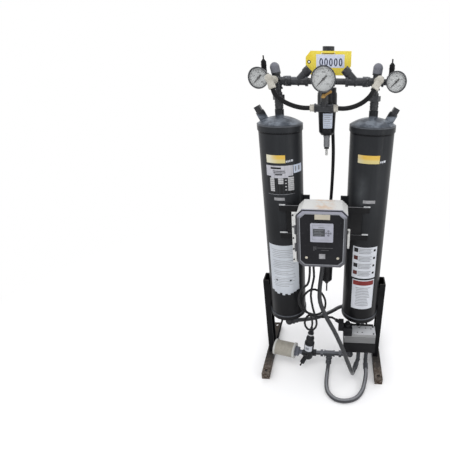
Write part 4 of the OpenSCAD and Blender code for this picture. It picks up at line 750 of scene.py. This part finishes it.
tower_label("left_dark", LEFT, [(-220, -118, 972, 1044)], -0.5, "ink")
CELL_PITCH, CELL_HIGH = 8, 7
DOT_PITCH, DOT_HIGH = 13, 4
columns = [(-211, -194, z, z + CELL_HIGH) for z in range(983, 1036, CELL_PITCH)]
columns += [(-142, -121, z, z + CELL_HIGH) for z in range(985, 1038, CELL_PITCH)]
columns += [(-179, -159, z, z + CELL_HIGH) for z in range(1014, 1036, CELL_PITCH)]
columns += [(-153, -147, z, z + DOT_HIGH) for z in range(988, 1030, DOT_PITCH)]
tower_label("left_columns", LEFT, columns, 1, "ink_pale", 4)
tower_label("left_edge_line", LEFT, [(-222, -118, 969.5, 971)], 0, "ink_grey")
tower_label("left_smudge", LEFT, [(-199, -157, 945, 957)], 0, "chalk")

# Torn sheet on the left tower, with plain lines
SHEET_LEFT, SHEET_WIDE, SHEET_LOW, SHEET_TOP = -238, 125, 500, 738
TORN_DEPTHS = (6, 14, 20, 12, 24, 16, 22, 15, 10, 4)
LINE_TOP, LINE_LOW, LINE_PITCH, LINE_HIGH = 714, 520, 9, 2.4
LINE_LEFT, LINE_RIGHT = -226, -126
EMPTY_LINES = (5, 11, 15)
LINE_SHORTER = (0, 12, 4, 22, 9, 30, 3, 16)
tower_label("left_sheet", LEFT, [(SHEET_LEFT, SHEET_LEFT + SHEET_WIDE, SHEET_LOW, SHEET_TOP)], 0, "sheet", 14)
torn_x = [SHEET_LEFT + SHEET_WIDE * i / len(TORN_DEPTHS) for i in range(len(TORN_DEPTHS) + 1)]
ragged = [(x0, x1, SHEET_LOW - d, SHEET_LOW) for x0, x1, d in zip(torn_x, torn_x[1:], TORN_DEPTHS)]
tower_label("left_sheet_edge", LEFT, ragged, 0, "sheet", 2)
lines = []
for k, z in enumerate(range(LINE_TOP, LINE_LOW, -LINE_PITCH)):
    if k in EMPTY_LINES:
        continue
    short = LINE_SHORTER[k % len(LINE_SHORTER)]
    lines.append((LINE_LEFT + (k * 5) % 9, LINE_RIGHT - short, z, z + LINE_HIGH))
tower_label("left_sheet_lines", LEFT, lines, 1, "ink_grey", 10)
tower_label("left_sheet_dots", LEFT, [(-214, -206, 552, 560), (-152, -144, 552, 560)], 1, "ink", 2)

# Labels on the right tower: amber field, four rows of a block, lines and a dot, and a card with a red band
ROWS_TOP, ROW_PITCH, ROW_COUNT, ROW_MARGIN = 742, 38, 4, 6
ROW_LINE_PITCH, ROW_LINE_HIGH = 7, 3.8
CARD_LINE_TOP, CARD_LINE_PITCH, CARD_LINE_HIGH, CARD_LINES = 530, 9, 4, 12
tower_label("right_amber", RIGHT, [AMBER_RIGHT], 0, "amber_right")
tower_label("right_amber_bars", RIGHT, [(207, 211, 1103, 1110), (213, 217, 1103, 1111),
                                        (219, 227, 1104, 1112)], 0, "paper", 2)
tower_label("right_smudge", RIGHT, [(152, 200, 942, 955)], 0, "chalk")
tower_label("right_rows", RIGHT, [(125, 227, 584, ROWS_TOP)], 0, "paper", 14)
row_tops = [ROWS_TOP - ROW_PITCH * k for k in range(ROW_COUNT)]
blocks = [(130, 147, top - 26, top - ROW_MARGIN) for top in row_tops]
tower_label("right_blocks_dark", RIGHT, blocks[0::2], 1, "ink", 3)
tower_label("right_blocks_brown", RIGHT, blocks[1::2], 1, "ink_brown", 3)
rows = []
for row_top in row_tops:
    for j in range(4):
        top = row_top - ROW_MARGIN - ROW_LINE_PITCH * j
        rows.append((150, 206 - 6 * (j % 2), top - ROW_LINE_HIGH, top))
tower_label("right_row_lines", RIGHT, rows, 1, "ink_grey", 8)
tower_label("right_row_dots", RIGHT, [(212, 221, top - 22, top - 11) for top in row_tops], 1, "ink", 2)
tower_label("right_card", RIGHT, [(130, 226, 412, 575)], 0, "paper", 14)
tower_label("right_card_band", RIGHT, [(133, 223, 546, 570)], 1, "ink_red", 12)
card_lines = []
for k in range(CARD_LINES):
    z = CARD_LINE_TOP - CARD_LINE_PITCH * k
    card_lines.append((145 + (k * 7) % 5, 212 - (k * 11) % 13, z, z + CARD_LINE_HIGH))
tower_label("right_card_lines", RIGHT, card_lines, 1, "ink_grey", 8)

# Weld beads round the skirts of the towers
WELD_OUT, WELD_R = 1.2, 1.5
for side, tag in ((LEFT, "left"), (RIGHT, "right")):
    for z, pos in ((349.6, "low"), (1207.4, "high")):
        hoop(f"{tag}_weld_{pos}", side * TOWER_X, 0, z, TOWER_R + WELD_OUT, WELD_R, "vessel")

# Dials: face, graduations, figures and two small marks; ends of the ticks, size and reach of the figures are
# shares of the radius, half widths of the ticks, rim and lifts are in mm
DIAL_START, DIAL_SWEEP = 225, 270
TICKS, TICKS_PER_LONG = 40, 5
TICK_OUTER, LONG_INNER, SHORT_INNER = 0.86, 0.70, 0.78
LONG_HALF, SHORT_HALF = 0.55, 0.28
FIGURE_PARTS, FIGURE_STEP, FIGURE_VALUE = 8, 2, 25
FIGURE_SIZE, FIGURE_REACH = 0.19, 0.53
FACE_RIM, FACE_LIFT, PRINT_LIFT, MARK_LIFT = 2.4, 0.2, 0.35, 0.4


def dial_angle(i, parts):
    return math.radians(DIAL_START - DIAL_SWEEP * i / parts)


def dial_ticks(name, cx, cz, y, r):
    verts, faces = [], []
    for i in range(TICKS + 1):
        a = dial_angle(i, TICKS)
        long = i % TICKS_PER_LONG == 0
        inner = r * (LONG_INNER if long else SHORT_INNER)
        w = LONG_HALF if long else SHORT_HALF
        c, s = math.cos(a), math.sin(a)
        k = len(verts)
        for reach in (inner, r * TICK_OUTER):
            for q in (-w, w):
                verts.append((cx + reach * c - q * s, y - PRINT_LIFT, cz + reach * s + q * c))
        faces.append((k, k + 2, k + 3, k + 1))
    piece(name, verts, faces, "ink")


def dial_figure(name, text, at, size):
    tc = bpy.data.curves.new(name, "FONT")
    tc.body = text
    tc.size = size * MM
    tc.align_x = "CENTER"
    tc.align_y = "CENTER"
    tc.resolution_u = 2
    to = add_object(tc.name + "_text", tc)
    to.matrix_world = Matrix.Translation(Vector(at) * MM) @ Matrix.Rotation(math.pi / 2, 4, "X")
    bpy.context.view_layer.update()
    me = bpy.data.meshes.new_from_object(to)
    me.transform(to.matrix_world)
    bpy.data.objects.remove(to)
    me.materials.clear()
    me.materials.append(M["ink"])
    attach(add_object(name, me), "stand")


def dial(name, cx, cz, y, r):
    discs(name + "_face", [(cx, cz, r - FACE_RIM)], y - FACE_LIFT, "dial", n=48)
    dial_ticks(name + "_ticks", cx, cz, y, r)
    for i in range(0, FIGURE_PARTS + 1, FIGURE_STEP):
        a = dial_angle(i, FIGURE_PARTS)
        at = (cx + r * FIGURE_REACH * math.cos(a), y - PRINT_LIFT, cz + r * FIGURE_REACH * math.sin(a))
        dial_figure(f"{name}_figure_{i}", str(i * FIGURE_VALUE), at, r * FIGURE_SIZE)
    marks = [(cx - r * 0.10, cz - r * 0.38, r * 0.035), (cx + r * 0.14, cz - r * 0.38, r * 0.035)]
    discs(name + "_marks", marks, y - MARK_LIFT, "ink_grey")


GAUGE_RIM, DIAL_DEPTH = 2, 8
for side in ("left", "right", "centre"):
    lo, hi = box_mm(side + "_gauge")
    r = (hi.x - lo.x) / 2 - GAUGE_RIM
    middle_z = hi.z - r - GAUGE_RIM if side == "centre" else (lo.z + hi.z) / 2
    dial(side + "_dial", (lo.x + hi.x) / 2, middle_z, lo.y + DIAL_DEPTH, r)

# Hang tag: pale field with a row of plain rings, eyelet, and its tie round the outlet coupling
RING_LEFT, RING_PITCH, RING_COUNT = -22, 17.5, 5
RING_SIZE = (6.6, 13, 3.9)
EYELET_SIZE = (6.2, 6.2, 3.2)
COUPLING_X, COUPLING_Y, TIE_LOOP_R, TIE_R = 3.0, 58.0, 23.0, 1.1
TIE_BELOW_TOP, TIE_RISE = 8, 1.5
tag_lo, tag_hi = box_mm("hang_tag")
front("tag_field", [(-40, 62, tag_hi.z - 54, tag_hi.z - 11)], tag_lo.y - 0.25, "tag_paper")
rings = [(RING_LEFT + RING_PITCH * i, tag_hi.z - 36, *RING_SIZE) for i in range(RING_COUNT)]
ring_fields("tag_rings", rings, tag_lo.y - 0.4, "ink_blue")
ring_fields("tag_eyelet", [(tag_lo.x + 12, tag_lo.z + 43.5, *EYELET_SIZE)], tag_lo.y - 0.3, "ink")
tie_z = tag_hi.z - TIE_BELOW_TOP
tie = [(COUPLING_X + x, tag_lo.y - 1.0, tie_z) for x in (-23, -12, 0, 12, 23)]
for a in (math.pi * k / 12 for k in range(13)):
    tie.append((COUPLING_X + TIE_LOOP_R * math.cos(a), COUPLING_Y + TIE_LOOP_R * math.sin(a),
                tie_z + TIE_RISE * math.sin(a)))
loop("tag_tie", tie, TIE_R, "tie")

# Afterfilter label, on the slightly tapered bowl
BOWL_X, BOWL_R, BOWL_TAPER, BOWL_REF_Z = 3, 32.0, 0.0395, 1245
bowl_bars = [(-7, 21 - 5 * (k % 2), 1264 - 7 * k, 1266 - 7 * k) for k in range(7)]
wrapped("bowl_label", BOWL_X, 0, BOWL_R, [(-10, 24, 1218, 1271)], 0.35, "blue_paper",
        taper=BOWL_TAPER, z_ref=BOWL_REF_Z)
wrapped("bowl_label_bars", BOWL_X, 0, BOWL_R, bowl_bars, 0.5, "ink_grey", taper=BOWL_TAPER, z_ref=BOWL_REF_Z)

# Cover prints and display screen, which ride on the cover
plate_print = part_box("faceplate")[0].y * TO_MM - 0.2
cover_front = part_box("box_cover")[0].y * TO_MM
disp_lo, disp_hi = box_mm("display")
mid_z = (disp_lo.z + disp_hi.z) / 2
PLATE_BEVEL, PLATE_LINE_GAP, PLATE_LINE_WIDE = 16, 1.0, 2.4
KEYS_X, KEYS_WIDE, KEYS_HIGH = 22, 8, 9
front("cover_tab", [(-30, 27, 922, 942)], cover_front - 0.4, "beige", "cover")
front("cover_words", [(-35, -30, 789, 808), (-28, -23, 794, 808), (-20, 40, 800, 803), (-6, 24, 790, 793)],
      plate_print, "faint", "cover")
front("cover_square", [(-13, 11, 753, 775)], plate_print, "chalk", "cover")
field_line("cover_line", *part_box("faceplate"), PLATE_BEVEL, PLATE_LINE_GAP, PLATE_LINE_WIDE,
           cover_front - 0.3, "ink_grey", "cover")
discs("cover_spots", [(-62, 757, 5.5), (60, 757, 5.5)], plate_print, "beige", "cover")
front("display_screen", [(disp_lo.x + 10.3, disp_lo.x + 54.7, mid_z - 14.7, mid_z + 16.7)],
      disp_lo.y + 2.0, "lcd", "cover")
screen_bars = [(disp_lo.x + 14, disp_lo.x + 50 - 9 * (k % 2), mid_z + 10 - 7 * k, mid_z + 11 - 7 * k)
               for k in range(4)]
front("display_screen_bars", screen_bars, disp_lo.y + 1.8, "ink_grey", "cover")
front("display_print", [(disp_lo.x + 8, disp_hi.x - 8, mid_z + 31, mid_z + 32.5),
                        (disp_lo.x + 8, disp_hi.x - 8, mid_z - 30, mid_z - 28.5),
                        (disp_lo.x + 8, disp_lo.x + 9.5, mid_z - 30, mid_z + 32.5),
                        (disp_lo.x + 30, disp_lo.x + 52, mid_z + 21, mid_z + 25)],
      disp_lo.y + 1.05, "ink_grey", "cover")
keys = [(KEYS_X + KEYS_WIDE * math.cos(a), mid_z + KEYS_HIGH * math.sin(a), 3.4, 3.4, 1.6)
        for a in (0, math.pi / 2, math.pi, 3 * math.pi / 2)]
keys.append((KEYS_X, mid_z, 2.8, 2.8, 1.4))
ring_fields("display_keys", keys, disp_lo.y - 0.2, "lcd", "cover")

# Exhaust valve: label round its leaning body and light ring on its neck
VALVE_FOOT, VALVE_TOP = Vector((-78, -66, 74)), Vector((-56, -66, 268))
lean = (VALVE_TOP - VALVE_FOOT).normalized()
across = Vector((lean.z, 0, -lean.x))


# Field from angle a0 to a1 in degrees and from h0 to h1 along the valve
def valve_field(name, a0, a1, h0, h1, radius, mat, cols=10):
    verts = []
    for i in range(cols + 1):
        a = math.radians(a0 + (a1 - a0) * i / cols)
        out = across * math.sin(a) + Vector((0, -math.cos(a), 0))
        verts += [VALVE_FOOT + lean * h + out * radius for h in (h0, h1)]
    faces = [(2 * i, 2 * i + 2, 2 * i + 3, 2 * i + 1) for i in range(cols)]
    piece(name, verts, faces, mat, smooth=True)


valve_field("valve_label", -62, 40, 56, 92, 25.3, "paper")
valve_field("valve_label_mark", -40, 0, 66, 82, 25.45, "ink_grey")
valve_field("valve_ring", 0, 360, 153, 160, 15.3, "pad", 24)

# Screws on the box flange and the switching valve, and pads on the bracket's bars
flange_spots = [(-112, -187.5, 739 + 48 * k) for k in range(5)]
screws("flange_screws", flange_spots, (0, -1, 0), 3.4, 2.0, "coil")
screws("valve_screws", [(116, -92, 268), (246, -92, 268), (246, -46, 268)], UP, 4.0, 2.5, "coil")
PAD_FRONT, PAD_BACK, PAD_HIGH = -90, -84.6, 4
PAD_FACES = [(0, 1, 5, 4), (1, 2, 6, 5), (2, 3, 7, 6), (3, 0, 4, 7), (4, 5, 6, 7)]
pads = [(-180, -156, 927), (-181, -150, 804), (156, 182, 927), (156, 181, 804)]
for k, (x0, x1, z0) in enumerate(pads):
    outline = [(x0, PAD_FRONT), (x1, PAD_FRONT), (x1, PAD_BACK), (x0, PAD_BACK)]
    corners = [(x, y, z) for z in (z0, z0 + PAD_HIGH) for x, y in outline]
    piece(f"bar_pad_{k}", corners, PAD_FACES, "pad")


# 1 for the rays that show the background: straight from the camera, mirrored or through glass
def seen_rays(nt):
    path = nt.nodes.new("ShaderNodeLightPath")
    seen = path.outputs["Is Camera Ray"]
    for kind in ("Is Glossy Ray", "Is Transmission Ray"):
        either = nt.nodes.new("ShaderNodeMath")
        either.operation = "MAXIMUM"
        nt.links.new(seen, either.inputs[0])
        nt.links.new(path.outputs[kind], either.inputs[1])
        seen = either.outputs[0]
    return seen


# Pale floor that takes the shadow near the object and runs out to the white of the background
def floor_mat():
    t = Tree("floor")
    fade_start, fade_end = 0.7, 2.2
    t.finish(t.mix(t.noise(3, 2.0), (0.97, 0.97, 0.97), (0.99, 0.99, 0.99)), 0.9, spec=0.1)
    lit = t.out.inputs[0].links[0].from_socket
    away = t.nt.nodes.new("ShaderNodeVectorMath")
    away.operation = "LENGTH"
    t.nt.links.new(t.coord, away.inputs[0])
    far = t.times(t.step(away.outputs["Value"], fade_start, fade_end), seen_rays(t.nt))
    mixer = t.nt.nodes.new("ShaderNodeMixShader")
    t.set(mixer.inputs[0], far)
    t.nt.links.new(lit, mixer.inputs[1])
    t.nt.links.new(t.node("ShaderNodeEmission", Strength=1.0).outputs[0], mixer.inputs[2])
    t.nt.links.new(mixer.outputs[0], t.out.inputs[0])
    return t.mat


def add_floor():
    half = 9.0
    me = bpy.data.meshes.new("floor")
    corners = [(-half, -half, 0), (half, -half, 0), (half, half, 0), (-half, half, 0)]
    me.from_pydata(corners, [], [(0, 1, 2, 3)])
    me.materials.append(floor_mat())
    add_object("floor", me)


# Soft lights: name, place, aim, width, height and power
LIGHTS = (
    ("key", (-0.5, -1.5, 3.4), (0, 0, 0.8), 1.8, 1.1, 21),
    ("rim_left", (-2.6, 0.6, 1.9), (0, 0, 0.8), 1.6, 1.6, 6),
    ("rim_right", (2.6, 0.4, 1.9), (0, 0, 0.8), 1.6, 1.6, 3),
    ("strip", (1.9, -1.35, 1.0), (0.05, 0, 0.9), 0.3, 1.9, 8),
)


def add_lights():
    for name, place, aim, wide, high, power in LIGHTS:
        light = bpy.data.lights.new(name, "AREA")
        light.energy = power
        light.shape = "RECTANGLE"
        light.size = wide
        light.size_y = high
        obj = add_object(name, light)
        obj.location = place
        obj.rotation_euler = (Vector(aim) - Vector(place)).to_track_quat("-Z", "Y").to_euler()


# Sky that grows brighter upward, seen as plain white
def add_world():
    world = bpy.data.worlds.new("studio")
    bpy.context.scene.world = world
    world.use_nodes = True
    nt = world.node_tree
    nt.nodes.clear()
    out = nt.nodes.new("ShaderNodeOutputWorld")
    light = nt.nodes.new("ShaderNodeBackground")
    white = nt.nodes.new("ShaderNodeBackground")
    white.inputs[0].default_value = (1, 1, 1, 1)
    mixer = nt.nodes.new("ShaderNodeMixShader")
    coord = nt.nodes.new("ShaderNodeTexCoord")
    sep = nt.nodes.new("ShaderNodeSeparateXYZ")
    ramp = nt.nodes.new("ShaderNodeValToRGB")
    low, high = ramp.color_ramp.elements
    low.position = 0.0
    low.color = (0.30, 0.305, 0.32, 1)
    high.position = 0.9
    high.color = (1.25, 1.25, 1.27, 1)
    nt.links.new(coord.outputs["Generated"], sep.inputs[0])
    nt.links.new(sep.outputs[2], ramp.inputs[0])
    nt.links.new(ramp.outputs[0], light.inputs[0])
    light.inputs[1].default_value = 1.0
    nt.links.new(seen_rays(nt), mixer.inputs[0])
    nt.links.new(light.outputs[0], mixer.inputs[1])
    nt.links.new(white.outputs[0], mixer.inputs[2])
    nt.links.new(mixer.outputs[0], out.inputs[0])


add_floor()
add_lights()
add_world()
bpy.context.scene.view_settings.view_transform = "Standard"
